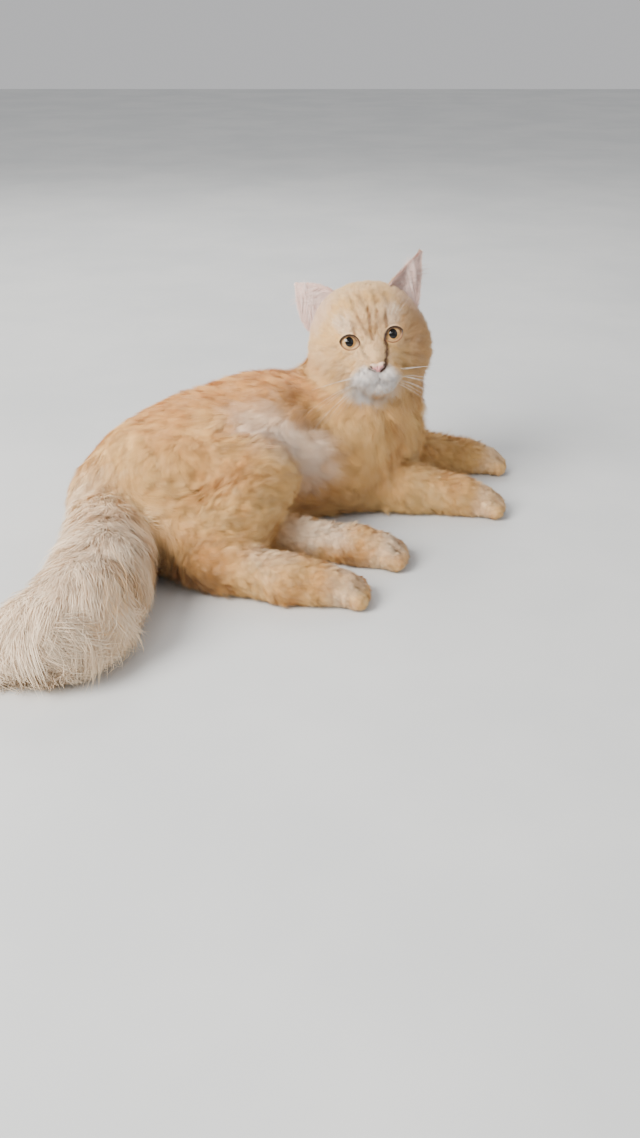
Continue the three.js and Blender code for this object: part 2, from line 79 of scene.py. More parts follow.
def head_axes():
    forward = unit(HEAD_FACING)
    level = unit(np.cross(forward, (0, 0, 1)))
    upright = np.cross(level, forward)
    right = level * math.cos(HEAD_ROLL) - upright * math.sin(HEAD_ROLL)
    crown = upright * math.cos(HEAD_ROLL) + level * math.sin(HEAD_ROLL)
    return np.array((right, forward, crown))


HEAD_AXES = head_axes()


def far(places, centre):
    return np.linalg.norm(places - centre, axis=1)


def bell(distance, width):
    """1 at no distance, falling off as a bell of a given width."""
    return np.exp(-(distance / width) ** 2)


def mound(distance, width):
    """Close to 1 up to a distance and to 0 beyond it."""
    return np.exp(-(distance / width) ** 4)


def soft_least(first, second, softness):
    """The smaller of two distances, rounded where they are nearly the same."""
    overlap = np.maximum(softness - np.abs(first - second), 0) / softness
    return np.minimum(first, second) - overlap ** 2 * softness / 4


def from_head(local):
    return np.asarray(local, float) @ HEAD_AXES + HEAD_CENTRE


def to_head(places):
    return (places - HEAD_CENTRE) @ HEAD_AXES.T


def eye_centre(side):
    return np.array((side * EYE_APART, EYE_FORWARD, EYE_HEIGHT))


def box_middle(node):
    low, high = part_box(node)
    return np.array((low + high) / 2) / MM


SHIFT = np.mean([box_middle("eye_right"), box_middle("eye_left")], axis=0) - np.mean(
    [from_head(eye_centre(1)), from_head(eye_centre(-1))], axis=0)


def metres(places):
    return (np.asarray(places, float) + SHIFT) * MM


# Camera

def placed(name, data):
    """A new object of the scene with this data."""
    added = bpy.data.objects.new(name, data)
    bpy.context.scene.collection.objects.link(added)
    return added


PHOTO_HEIGHT = 1138
FOCAL_PIXELS = 1050
CAMERA_PLACE = (0, -950, 474)
CAMERA_PITCH = 28.5

camera_data = bpy.data.cameras.new("camera")
camera_data.sensor_width = 36
camera_data.lens = 36 * FOCAL_PIXELS / PHOTO_HEIGHT
camera = placed("camera", camera_data)
camera.location = Vector(metres(CAMERA_PLACE))
camera.rotation_euler = (math.radians(90 - CAMERA_PITCH), 0, 0)
bpy.context.scene.camera = camera


# Rounded masses of flesh: each gives the distance to points, and can add its primitives

def deselect():
    bpy.ops.object.select_all(action="DESELECT")


def activate(piece):
    deselect()
    piece.select_set(True)
    bpy.context.view_layer.objects.active = piece


class Limb:
    def __init__(self, start, start_radius, end, end_radius):
        self.start = np.array(start, float)
        self.end = np.array(end, float)
        self.radii = (start_radius, end_radius)

    def __call__(self, p):
        along = self.end - self.start
        share = np.clip((p - self.start) @ along / (along @ along), 0, 1)
        nearest = self.start + share[:, None] * along
        radius = self.radii[0] + (self.radii[1] - self.radii[0]) * share
        return far(p, nearest) - radius

    def model(self, place):
        for end, radius in ((self.start, self.radii[0]), (self.end, self.radii[1])):
            bpy.ops.mesh.primitive_uv_sphere_add(segments=20, ring_count=12, radius=radius)
            bpy.context.object.matrix_world = place @ Matrix.Translation(end)
        along = Vector(self.end - self.start)
        bpy.ops.mesh.primitive_cone_add(
            vertices=20, radius1=self.radii[0], radius2=self.radii[1], depth=along.length)
        turn = along.to_track_quat("Z", "Y").to_matrix().to_4x4()
        middle = Matrix.Translation((self.start + self.end) / 2)
        bpy.context.object.matrix_world = place @ middle @ turn


class Egg:
    def __init__(self, centre, radii):
        self.centre = np.array(centre, float)
        self.radii = np.array(radii, float)

    def __call__(self, p):
        local = (p - self.centre) / self.radii
        near = np.linalg.norm(local, axis=1)
        slope = np.linalg.norm(local / self.radii, axis=1) + 1e-9
        return near * (near - 1) / slope

    def model(self, place):
        bpy.ops.mesh.primitive_uv_sphere_add(segments=24, ring_count=14, radius=1)
        size = Matrix.Diagonal((*self.radii, 1))
        bpy.context.object.matrix_world = place @ Matrix.Translation(self.centre) @ size


class Blend:
    def __init__(self, softness, masses):
        self.softness = softness
        self.masses = masses

    def __call__(self, p):
        found = self.masses[0](p)
        for mass in self.masses[1:]:
            found = soft_least(found, mass(p), self.softness)
        return found

    def model(self, place):
        for mass in self.masses:
            mass.model(place)


def both_sides(make):
    return [make(1), make(-1)]


skull = Blend(12, [
    Egg((0, -6, 11), (53, 48, 45)),
    *both_sides(lambda s: Egg((s * 30, 2, -10), (30, 31, 33))),
    Egg((0, 8, -30), (36, 34, 24)),
    Egg((0, 26, -18), (25, 22, 22)),
    *both_sides(lambda s: Limb((s * 10, 30, 19), 9, (s * 27, 22, 17), 9)),
])
LID_RADIUS = 12.85
face_form = Blend(6, [
    skull,
    Limb((0, 30, 9), 9, (0, 46, -20), 6.5),
    *both_sides(lambda s: Egg((s * 10.5, 39.5, -35), (13.5, 12, 10))),
    Egg((0, 36, -46), (13, 10, 7)),
    *both_sides(lambda s: Egg(eye_centre(s), (LID_RADIUS,) * 3)),
])
NOSE_TIP = np.array((0.0, 53.0, -26.0))
nose_form = Blend(3, [
    *both_sides(lambda s: Egg(NOSE_TIP + (s * 4, -1.5, 1.5), (4, 3, 3))),
    Egg(NOSE_TIP + (0, -1.5, -2), (3, 3, 3)),
])

# The opening between the lids is where two circles overlap, tilted up at its outer corner
LID_OPENING = 9.6
LID_TALL = 7.2
LID_TILT = 0.28
LID_ROUND = (LID_OPENING ** 2 + LID_TALL ** 2) / (2 * LID_TALL)
LID_DROP = LID_ROUND - LID_TALL
UNDER_LID = 10.4


def lid_distance(local, side):
    """How far points of the head lie outside the opening between the lids, seen from the front."""
    x, z = local[:, 0] - side * EYE_APART, local[:, 2] - EYE_HEIGHT
    turn = side * LID_TILT
    across = x * math.cos(turn) + z * math.sin(turn)
    up = z * math.cos(turn) - x * math.sin(turn)
    return np.maximum(np.hypot(across, up + LID_DROP), np.hypot(across, up - LID_DROP)) - LID_ROUND


def line_distance(local, places):
    """Distance to a line of (x, z) places on the front of the face."""
    flat = local[:, [0, 2]]
    found = np.full(len(flat), 1e3)
    for start, end in zip(np.array(places[:-1], float), np.array(places[1:], float)):
        along = end - start
        share = np.clip((flat - start) @ along / (along @ along), 0, 1)
        found = np.minimum(found, np.linalg.norm(flat - start - share[:, None] * along, axis=1))
    return found


PHILTRUM = [(0, -31), (0, -35), (0, -39)]
MOUTH_RIGHT = [(0, -39), (6, -42.5), (12, -42), (18, -38)]
MOUTH_LEFT = [(-x, z) for x, z in MOUTH_RIGHT]
# Creases of the muzzle: the line of each, its depth and its width
CREASES = ((PHILTRUM, 1.1, 1.4), (MOUTH_RIGHT, 1.2, 1.5), (MOUTH_LEFT, 1.2, 1.5))
# Only places of the head that lie further forwards than this belong to the front of the face
FACE_FRONT = 15


def face_surface(local):
    """Distance to the face, with its creases cut in."""
    found = face_form(local)
    front = local[:, 1] > FACE_FRONT
    for places, depth, width in CREASES:
        found[front] += depth * bell(line_distance(local[front], places), width)
    return found


# Darker lines of the coat on the head: (x, z) places, width and share
STRIPES = (
    ([(17, 21), (15.5, 8)], 2.4, 0.85), ([(11, 24), (6, 12), (3.8, 5)], 2.3, 0.8),
    ([(-1, 31), (0, 15), (0.5, 1)], 2.8, 1.0), ([(-9.5, 26), (-6.5, 12), (-4.2, 6)], 2.4, 0.85),
    ([(-17.5, 25), (-15.5, 10)], 2.5, 0.85), ([(4.5, 44), (2.5, 34)], 3.0, 0.7),
    ([(-9, 46), (-9, 33)], 3.0, 0.7), ([(-19, 42), (-21, 31)], 2.8, 0.6),
    ([(13.5, 43), (12.5, 31)], 3.0, 0.65), ([(24, 31), (25, 20)], 2.6, 0.4),
    ([(33, 1), (48, -1)], 2.6, 0.3), ([(31, -13), (47, -21)], 2.8, 0.3),
    ([(28, -22), (45, -33)], 2.8, 0.3), ([(-33, -6), (-50, -10)], 3.0, 0.5),
    ([(-27, -17), (-48, -24)], 3.0, 0.5), ([(-23, -28), (-44, -36)], 2.8, 0.45),
)
# Dark brown lines: the eyes' inner corners and the way that tears run, with painted shade along the edges of
# the nostrils and, faintly, along the philtrum and the mouth
DARK_LINES = (
    ([(-13.5, 3), (-12, -3)], 2.4, 1.0), ([(-12, -3), (-13, -10), (-10.5, -17), (-8.5, -24)], 3.0, 0.95),
    ([(13.2, 2), (12.2, -3)], 1.6, 0.8), ([(12, -4), (11.5, -10), (8.5, -15)], 2.2, 0.45),
    ([(2.8, -30), (6, -28), (8.8, -25.5)], 1.3, 0.85),
    ([(-2.8, -30.5), (-6.5, -28.5), (-9.2, -25), (-9, -22)], 1.7, 1.0),
    (PHILTRUM, 0.9, 0.3), (MOUTH_RIGHT, 1.3, 0.22), (MOUTH_LEFT, 1.3, 0.3),
)


def line_share(local, places, width):
    share = np.clip((width - line_distance(local, places)) / (0.75 * width), 0, 1)
    return share * share * (3 - 2 * share)


HIP, KNEE = (-168, -18, 72), (-58, -30, 76)
HOCK, INSTEP = (-97, -112, 26), (-31, -135, 21)

# Each paw's middle on the floor, its heading and its size
PAWS = {
    "forepaw_right": ((164, 47, 0), -0.14, 18),
    "forepaw_left": ((183, 158, 0), -0.05, 17.5),
    "hindpaw_right": ((15, -138, 0), -0.06, 18.5),
    "hindpaw_left": ((53, -65, 0), -0.12, 19),
}
# Where the creases between the toes lie across a paw, as shares of its size, and how deep they are
TOE_CREASES = (-0.53, 0, 0.53)
CREASE_DEPTH = 2.8


def paw_axes(heading):
    along = np.array((math.cos(heading), math.sin(heading), 0))
    return along, np.array((-along[1], along[0], 0))


def on_paw(name, p):
    """How far ahead of a paw's middle and aside of it points lie, in its sizes, and how far in all."""
    centre, heading, size = PAWS[name]
    along, across = paw_axes(heading)
    offset = p - np.array(centre, float)
    return offset @ along / size, offset @ across / size, np.linalg.norm(offset, axis=1) / size


def paw(centre, heading, size):
    """A pad of the foot with four toes in a fan."""
    along, across = paw_axes(heading)

    def spot(ahead, aside, high):
        place = np.array(centre, float) + along * ahead * size + across * aside * size
        return (place[0], place[1], high * size)

    toes = [
        Limb(spot(0.5, aside * 0.85, 0.7), 0.42 * size,
             spot(1.2 - 0.3 * aside ** 2, aside * 0.95, 0.5), 0.43 * size)
        for aside in (-0.78, -0.28, 0.28, 0.78)
    ]
    pad = Limb(spot(-0.9, 0, 0.95), 0.95 * size, spot(0.35, 0, 0.72), 0.86 * size)
    return Blend(0.2 * size, [pad, *toes])


PARTS = {
    "torso": Blend(28, [
        Limb((-205, -30, 50), 36, (-165, -8, 66), 48),
        Limb((-165, -8, 66), 48, (-120, 25, 72), 56),
        Limb((-120, 25, 72), 56, (-60, 62, 76), 60),
        Limb((-60, 62, 76), 60, (20, 92, 74), 58),
        Limb((20, 92, 74), 58, (62, 100, 70), 44),
        Limb((-100, 20, 42), 42, (10, 65, 40), 40),
        Limb((36, 62, 90), 32, (32, 64, 44), 28),
        Limb((42, 128, 88), 32, (46, 138, 44), 28),
    ]),
    "neck": Blend(20, [
        Limb((46, 102, 92), 46, (45, 94, 138), 45),
        Limb((45, 94, 138), 45, (46, 91, 152), 40),
    ]),
    "thigh_right": Blend(22, [
        Limb(HIP, 42, KNEE, 33),
        Limb((-168, -52, 46), 40, (-116, -82, 38), 33),
    ]),
    "shank_right": Blend(16, [
        Limb(KNEE, 31, (-80, -74, 48), 32),
        Limb((-80, -74, 48), 32, HOCK, 24),
    ]),
    "foot_right": Blend(10, [
        Limb(HOCK, 22, INSTEP, 19.5),
        Limb(INSTEP, 19.5, (-2, -137, 18), 16),
    ]),
    "thigh_left": Limb((-172, 18, 34), 36, (-80, -2, 30), 28),
    "foot_left": Limb((-62, -40, 22), 20, (36, -62, 17), 15),
    "foreleg_right": Blend(10, [
        Limb((30, 68, 29), 26, (90, 59, 24), 22),
        Limb((90, 59, 24), 22, (146, 50, 19), 16.5),
    ]),
    "foreleg_left": Blend(10, [
        Limb((46, 146, 29), 26, (110, 156, 23), 21),
        Limb((110, 156, 23), 21, (164, 160, 18), 16),
    ]),
    "tail_base": Blend(14, [
        Limb((-205, -52, 46), 26, (-190, -100, 43), 27),
        Limb((-190, -100, 43), 27, (-188, -155, 42), 28),
        Limb((-190, -100, 28), 22, (-188, -155, 28), 22),
    ]),
    "tail_middle": Blend(14, [
        Limb((-188, -157, 42), 28, (-193, -215, 41), 28),
        Limb((-188, -157, 28), 22, (-193, -215, 28), 22),
    ]),
    "tail_tip": Blend(14, [
        Limb((-193, -217, 41), 28, (-212, -246, 38), 24),
        Limb((-193, -217, 28), 22, (-212, -246, 27), 20),
        Limb((-212, -246, 36), 24, (-249, -262, 26), 12),
        Limb((-249, -262, 26), 12, (-276, -264, 20), 4),
    ]),
    **{name: paw(*sizes) for name, sizes in PAWS.items()},
}
JOIN_SOFTNESS = 9
FLOOR_LEVEL = 1.0
body_form = Blend(JOIN_SOFTNESS, list(PARTS.values()))


def flesh(p):
    """Distance to the whole skin, cut flat where it lies on the floor."""
    found = soft_least(body_form(p), face_form(to_head(p)), JOIN_SOFTNESS)
    return np.maximum(found, FLOOR_LEVEL - p[:, 2])


class Grid:
    """The distance to the skin and its slope, kept on a regular grid and read between its points."""

    def __init__(self, low, high, step):
        self.low = np.array(low, float)
        self.step = step
        axes = [np.arange(a, b + step, step) for a, b in zip(low, high)]
        self.shape = tuple(len(axis) for axis in axes)
        points = np.stack(np.meshgrid(*axes, indexing="ij"), axis=-1).reshape(-1, 3)
        value = flesh(points).reshape(self.shape)
        slope = np.gradient(value, step)
        self.kept = np.stack([value, *slope], axis=-1)

    def read(self, p):
        at = np.clip((p - self.low) / self.step, 0, np.array(self.shape) - 1.001)
        cell = at.astype(int)
        part = at - cell
        found = 0
        for corner in np.ndindex(2, 2, 2):
            weight = np.prod(np.where(corner, part, 1 - part), axis=1)
            i, j, k = (cell + corner).T
            found = found + weight[:, None] * self.kept[i, j, k]
        return found[:, 0], unit(found[:, 1:])


grid = Grid((-320, -310, -12), (250, 260, 270), 4)


def paw_surface(name):
    """The distance to a paw and its leg, with a crease between each two toes."""
    leg = name.replace("forepaw", "foreleg").replace("hindpaw", "foot")
    form = Blend(5, [PARTS[name], PARTS[leg]])

    def surface(p):
        ahead, aside, _ = on_paw(name, p)
        found = np.maximum(form(p), FLOOR_LEVEL - p[:, 2])
        deep = np.clip((ahead - 0.6) / 0.4, 0, 1)
        for place in TOE_CREASES:
            found = found + CREASE_DEPTH * deep * bell(aside - place, 0.12)
        return found

    return surface


# Where the coat is folded over the knee and calf, which way the folds step, and how far apart they are
RIPPLES = (((-62, -62, 88), 32), ((-84, -108, 58), 28))
RIPPLE_WAY = (-0.15, -0.55, -0.82)
RIPPLE_LENGTH = 9.0


def folds(p):
    """How much the coat over the knee and calf is folded, and where in its folds points lie."""
    share = sum(bell(far(p, centre), radius) for centre, radius in RIPPLES)
    wave = p @ np.array(RIPPLE_WAY) / RIPPLE_LENGTH * 2 * math.pi
    return share, wave + 2.2 * np.sin(p[:, 0] / 17) + 1.2 * np.sin(p[:, 1] / 11)


def marks(p):
    """The shares of stripe, of dark brown and of painted shade at points, for the skin and the coat alike."""
    local = to_head(p)
    front = np.clip((local[:, 1] + 4) / 16, 0, 1) * (np.linalg.norm(local, axis=1) < 80)
    found = np.zeros((len(p), 3))
    for i, lines in enumerate((STRIPES, DARK_LINES)):
        for places, width, share in lines:
            found[:, i] = np.maximum(found[:, i], share * front * line_share(local, places, width))
    for side in (1, -1):
        lid = np.clip(0.6 - lid_distance(local, side), 0, 1) * (local[:, 1] > FACE_FRONT)
        upper = np.clip((local[:, 2] - EYE_HEIGHT + 3) / 4, 0.3, 1)
        found[:, 1] = np.maximum(found[:, 1], lid * upper)
    # Painted shade in the creases between the toes
    for name in PAWS:
        ahead, aside, off = on_paw(name, p)
        deep = np.clip((ahead - 0.7) / 0.35, 0, 1) * (off < 2.2)
        for place in TOE_CREASES:
            found[:, 2] = np.maximum(found[:, 2], deep * bell(aside - place, 0.13))
    # Painted shade in the troughs of the folds over the knee and calf
    share, wave = folds(p)
    found[:, 2] = np.maximum(found[:, 2], 0.8 * share * np.clip(-np.sin(wave), 0, 1))
    return found


def keep_vectors(mesh, name, values):
    kept = mesh.attributes.new(name, "FLOAT_VECTOR", "POINT")
    kept.data.foreach_set("vector", np.ascontiguousarray(values, dtype=float).ravel())


# The skin: one closed mesh over every part

def read_values(items, name, width=3, kind=float):
    """One row of numbers for each of a mesh's items."""
    values = np.zeros(len(items) * width, kind)
    items.foreach_get(name, values)
    return values.reshape(-1, width)


def mesh_places(piece):
    return read_values(piece.data.vertices, "co") / MM - SHIFT


def set_places(piece, places):
    piece.data.vertices.foreach_set("co", metres(places).ravel())
    piece.data.update()


def apply_modifier(piece, kind, **settings):
    modifier = piece.modifiers.new(kind.lower(), kind)
    for name, value in settings.items():
        setattr(modifier, name, value)
    activate(piece)
    bpy.ops.object.modifier_apply(modifier=modifier.name)


def face_outwards(piece):
    """Turns a closed piece's faces outwards and shades it smooth."""
    activate(piece)
    bpy.ops.object.mode_set(mode="EDIT")
    bpy.ops.mesh.select_all(action="SELECT")
    bpy.ops.mesh.normals_make_consistent(inside=False)
    bpy.ops.object.mode_set(mode="OBJECT")
    bpy.ops.object.shade_smooth()


def joined_primitives(name, forms):
    """Adds the primitives of (form, place) pairs and joins them into one piece at the origin."""
    deselect()
    before = set(bpy.data.objects)
    scale = Matrix.Diagonal((MM, MM, MM, 1)) @ Matrix.Translation(SHIFT)
    for form, place in forms:
        form.model(scale @ place)
    added = [o for o in bpy.data.objects if o not in before]
    for o in added:
        o.select_set(True)
    bpy.ops.object.transform_apply(location=True, rotation=True, scale=True)
    bpy.ops.object.join()
    piece = bpy.context.object
    piece.name = name
    return piece


HEAD_PLACE = Matrix.Translation(HEAD_CENTRE) @ Matrix(HEAD_AXES.T.tolist()).to_4x4()
SKIN_VOXEL = 3.0


def settle(piece, rounds, most=4):
    """Moves the skin's corners onto the flesh, along its slope."""
    places = mesh_places(piece)
    for _ in range(rounds):
        distance, slope = grid.read(places)
        places = places - np.clip(distance, -most, most)[:, None] * slope
    set_places(piece, places)


def slope_of(surface, places, step):
    """Which way the distance to a surface grows at places."""
    steps = np.eye(3) * step
    return unit(np.stack([surface(places + ahead) - surface(places - ahead) for ahead in steps], axis=1))


def settle_near(places, surface, share, rounds, most=1.2, step=0.25):
    """Moves places onto a finer surface, by their share from 0 to 1 of the way."""
    chosen = share > 0
    found = places[chosen]
    for _ in range(rounds):
        distance = surface(found)
        found = found - np.clip(distance, -most, most)[:, None] * slope_of(surface, found, step)
    places = places.copy()
    places[chosen] += (found - places[chosen]) * share[chosen][:, None]
    return places


def settle_face(piece, rounds):
    local = to_head(mesh_places(piece))
    share = np.clip((52 - far(local, (0, 20, -8))) / 8, 0, 1)
    share *= np.clip((local[:, 1] - 8) / 8, 0, 1)
    set_places(piece, from_head(settle_near(local, face_surface, share, rounds)))


def settle_paws(piece, rounds):
    places = mesh_places(piece)
    for name in PAWS:
        ahead, _, off = on_paw(name, places)
        share = np.clip((ahead + 0.4) / 0.6, 0, 1) * (off < 2.6)
        places = settle_near(places, paw_surface(name), share, rounds)
    set_places(piece, places)


def subdivide_near(piece, chosen):
    """Splits the faces whose middles are chosen by a function of places."""
    near = chosen(read_values(piece.data.polygons, "center") / MM - SHIFT)
    activate(piece)
    bpy.ops.object.mode_set(mode="EDIT")
    bpy.ops.mesh.select_mode(type="FACE")
    bpy.ops.mesh.select_all(action="DESELECT")
    bpy.ops.object.mode_set(mode="OBJECT")
    piece.data.polygons.foreach_set("select", near)
    bpy.ops.object.mode_set(mode="EDIT")
    bpy.ops.mesh.subdivide(number_cuts=1)
    bpy.ops.object.mode_set(mode="OBJECT")


def near_on_head(centres, radius):
    def chosen(places):
        local = to_head(places)
        found = np.zeros(len(local), bool)
        for centre in centres:
            found |= far(local, centre) < radius
        return found & (local[:, 1] > 5)
    return chosen


def near_toes(reach):
    def chosen(places):
        found = np.zeros(len(places), bool)
        for centre, heading, size in PAWS.values():
            toes = np.array(centre, float) + paw_axes(heading)[0] * size * 0.9
            found |= far(places, toes) < reach * size
        return found
    return chosen


LID_SNAP = 0.3


def open_lids(piece):
    """Pushes the skin between the lids in behind the eyeball, with a clean edge to each opening."""
    local = to_head(mesh_places(piece))
    for side in (1, -1):
        near = (far(local, eye_centre(side)) < 18) & (local[:, 1] > FACE_FRONT)
        places = local[near]
        distance = lid_distance(places, side)
        slope = slope_of(lambda p: lid_distance(p, side), places, 0.05)
        edge = np.abs(distance) < LID_SNAP
        places[edge] -= slope[edge] * distance[edge][:, None]
        inner = distance < -LID_SNAP
        offset = places[inner] - eye_centre(side)
        places[inner] = eye_centre(side) + unit(offset) * UNDER_LID
        local[near] = places
    set_places(piece, from_head(local))


def make_skin():
    identity = Matrix.Identity(4)
    forms = [(form, identity) for form in PARTS.values()] + [(face_form, HEAD_PLACE)]
    skin = joined_primitives("skin", forms)
    apply_modifier(skin, "REMESH", mode="VOXEL", voxel_size=SKIN_VOXEL * MM, use_smooth_shade=True)
    for _ in range(2):
        settle(skin, 2)
        apply_modifier(skin, "SMOOTH", factor=0.5, iterations=3)
    settle(skin, 2)
    subdivide_near(skin, near_on_head([(0, 28, -14)], 46))
    settle_face(skin, 2)
    subdivide_near(skin, near_on_head([eye_centre(1), eye_centre(-1)], 17))
    subdivide_near(skin, near_on_head([(0, 45, -34)], 19))
    subdivide_near(skin, near_on_head([eye_centre(1), eye_centre(-1)], 14.5))
    settle_face(skin, 5)
    open_lids(skin)
    subdivide_near(skin, near_toes(1.6))
    settle_paws(skin, 3)
    subdivide_near(skin, near_toes(1.3))
    settle_paws(skin, 3)
    activate(skin)
    bpy.ops.object.mode_set(mode="EDIT")
    bpy.ops.mesh.select_all(action="SELECT")
    bpy.ops.mesh.quads_convert_to_tris()
    bpy.ops.uv.smart_project(angle_limit=math.radians(66), island_margin=0.002)
    bpy.ops.object.mode_set(mode="OBJECT")
    bpy.ops.object.shade_smooth()
    skin.data.uv_layers[0].name = "OFBake"
    keep_vectors(skin.data, "marks", marks(mesh_places(skin)))
    return skin


skin = make_skin()

# Eyes, the rims of their lids, and the nose

CORNEA_RISE = 0.9
CORNEA_EDGE = 0.72


def make_eye(side, name):
    """A ball whose pole looks out of the head, with a low dome over its iris."""
    deselect()
    bpy.ops.mesh.primitive_uv_sphere_add(segments=48, ring_count=36, radius=1)
    eye = bpy.context.object
    eye.name = name
    ball = read_values(eye.data.vertices, "co")
    off_axis = np.hypot(ball[:, 0], ball[:, 1])
    dome = np.clip(1 - off_axis / CORNEA_EDGE, 0, 1) ** 0.7 * (ball[:, 2] > 0)
    radius = EYE_RADIUS - 0.25 + CORNEA_RISE * dome
    local = eye_centre(side) + ball[:, [0, 2, 1]] * (-1, 1, 1) * radius[:, None]
    set_places(eye, from_head(local))
    keep_vectors(eye.data, "gaze", ball * (-1, 1, 1))
    face_outwards(eye)
    return eye


def tube(name, lines, radii, sides=6, closed=False):
    """Round tubes along lines of places, each ring with its own radius."""
    verts, faces = [], []
    for line, radius in zip(lines, radii):
        line = np.array(line, float)
        if closed:
            along = unit(np.roll(line, -1, 0) - np.roll(line, 1, 0))
        else:
            along = unit(np.gradient(line, axis=0))
        side = unit(np.cross(along, (0.13, 0.31, 0.94)))
        up = np.cross(side, along)
        first = len(verts)
        for i in range(len(line)):
            for k in range(sides):
                turn = 2 * math.pi * k / sides
                verts.append(line[i] + radius[i] * (math.cos(turn) * side[i] + math.sin(turn) * up[i]))
        rings = len(line) if closed else len(line) - 1
        for i in range(rings):
            j = (i + 1) % len(line)
            for k in range(sides):
                m = (k + 1) % sides
                faces.append([first + i * sides + k, first + i * sides + m,
                              first + j * sides + m, first + j * sides + k])
        if not closed:
            faces.append([first + k for k in reversed(range(sides))])
            faces.append([first + (len(line) - 1) * sides + k for k in range(sides)])
    mesh = bpy.data.meshes.new(name)
    mesh.from_pydata(metres(np.array(verts)).tolist(), [], faces)
    piece = placed(name, mesh)
    face_outwards(piece)
    return piece


RIM_RADIUS = 0.68
RIM_STEPS = 72


def lid_rim(side):
    """The line of the lids' edge, bent round the eyeball."""
    line = []
    half = math.asin(LID_OPENING / LID_ROUND)
    for lid in (1, -1):
        for i in range(RIM_STEPS // 2):
            angle = -half + 2 * half * i / (RIM_STEPS // 2)
            across = math.sin(angle) * LID_ROUND * lid
            up = (math.cos(angle) * LID_ROUND - LID_DROP) * lid
            turn = side * LID_TILT
            x = across * math.cos(turn) - up * math.sin(turn)
            z = up * math.cos(turn) + across * math.sin(turn)
            line.append(eye_centre(side) + (x, math.sqrt(LID_RADIUS ** 2 - x * x - z * z), z))
    line = np.array(line)
    for _ in range(12):
        line[:, 1] -= 0.8 * (face_form(line) + 0.1)
    return from_head(line)


eye_right = make_eye(1, "eye_ball_right")
eye_left = make_eye(-1, "eye_ball_left")
rims = [lid_rim(1), lid_rim(-1)]
lid_rims = tube("lid_rims", rims, [[RIM_RADIUS] * len(rim) for rim in rims], closed=True)

# Each nostril is a comma that is cut into the leather
NOSTRIL = [(2.2, -29.2), (4.4, -29.0), (6.4, -27.4), (7.2, -25.2)]


def nose_surface(local):
    found = nose_form(local)
    for side in (1, -1):
        line = [(side * x, z) for x, z in NOSTRIL]
        found = found + 1.6 * bell(line_distance(local, line), 0.9)
    return found + 0.8 * bell(local[:, 0], 0.7) * (local[:, 2] < -25)


def make_nose():
    nose = joined_primitives("nose_leather", [(nose_form, HEAD_PLACE)])
    apply_modifier(nose, "REMESH", mode="VOXEL", voxel_size=0.45 * MM, use_smooth_shade=True)
    local = to_head(mesh_places(nose))
    for _ in range(5):
        distance = nose_surface(local)
        local = local - np.clip(distance, -0.6, 0.6)[:, None] * slope_of(nose_form, local, 0.2)
    set_places(nose, from_head(local))
    activate(nose)
    bpy.ops.object.shade_smooth()
    return nose


nose = make_nose()

# Ears: cupped, pointed shells

EAR = {"width": 45, "height": 56, "cup": 1.05, "thick": 1.8, "lean": -3}
EARS = {
    "ear_right": {"base": (37, -8, 32), "up": (21, -30, 33), "opening": (0.5, 0.85, 0.3), "bulge": 1.9},
    "ear_left": {"base": (-38, -6, 30), "up": (-30, -8, 42), "opening": (-0.7, 0.7, 0.1), "bulge": 1.35},
}


def ear_place(ear, across, layer, share):
    """A place on an ear's shell, from -1 to 1 across it and 0 to 1 up it."""
    across, share = np.broadcast_arrays(np.asarray(across, float), np.asarray(share, float))
    half = (EAR["width"] / 2) * np.maximum(0.05, 1 - np.maximum(share, 0) ** ear["bulge"])
    most = EAR["cup"] * (1 - 0.45 * share)
    radius = half / np.sin(most)
    inner = radius - layer * EAR["thick"] * (1 - 0.5 * share)
    bend = across * most
    local = np.stack([
        inner * np.sin(bend),
        radius * np.cos(most) - inner * np.cos(bend) + EAR["lean"] * share ** 2,
        share * EAR["height"]], axis=-1)
    up = unit(np.array(ear["up"], float))
    side = unit(np.cross(ear["opening"], up))
    out = np.cross(up, side)
    return from_head(local @ np.array((side, out, up)) + np.array(ear["base"]))


def make_ear(name, ear):
    deselect()
    bpy.ops.mesh.primitive_grid_add(x_subdivisions=20, y_subdivisions=20, size=2)
    shell = bpy.context.object
    shell.name = name + "_shell"
    flat = read_values(shell.data.vertices, "co")
    places = ear_place(ear, flat[:, 0], 0, (flat[:, 1] + 1) / 2)
    set_places(shell, places)
    shell.data.uv_layers[0].name = "OFBake"
    apply_modifier(shell, "SOLIDIFY", thickness=EAR["thick"] * MM, offset=0)
    apply_modifier(shell, "SUBSURF", levels=1, render_levels=1)
    face_outwards(shell)
    return shell


ears = {name: make_ear(name, ear) for name, ear in EARS.items()}

# Shader maths

class Nodes:
    """A material's nodes, added by one method, whose results are wrapped sockets."""

    def __init__(self, name):
        self.material = bpy.data.materials.new(name)
        self.material.use_nodes = True
        self.tree = self.material.node_tree
        self.tree.nodes.clear()

    def add(self, kind, settings=(), values=(), output=0):
        node = self.tree.nodes.new(kind)
        for name, value in dict(settings).items():
            setattr(node, name, value)
        for name, value in dict(values).items():
            socket = node.inputs[name]
            if isinstance(value, Wire):
                self.tree.links.new(value.socket, socket)
            else:
                socket.default_value = value
        return Wire(self, node.outputs[output]) if node.outputs else node

    def attribute(self, name):
        return self.add("ShaderNodeAttribute", {"attribute_name": name}, {}, "Vector")

    def object_place(self):
        return self.add("ShaderNodeTexCoord", {}, {}, "Object")


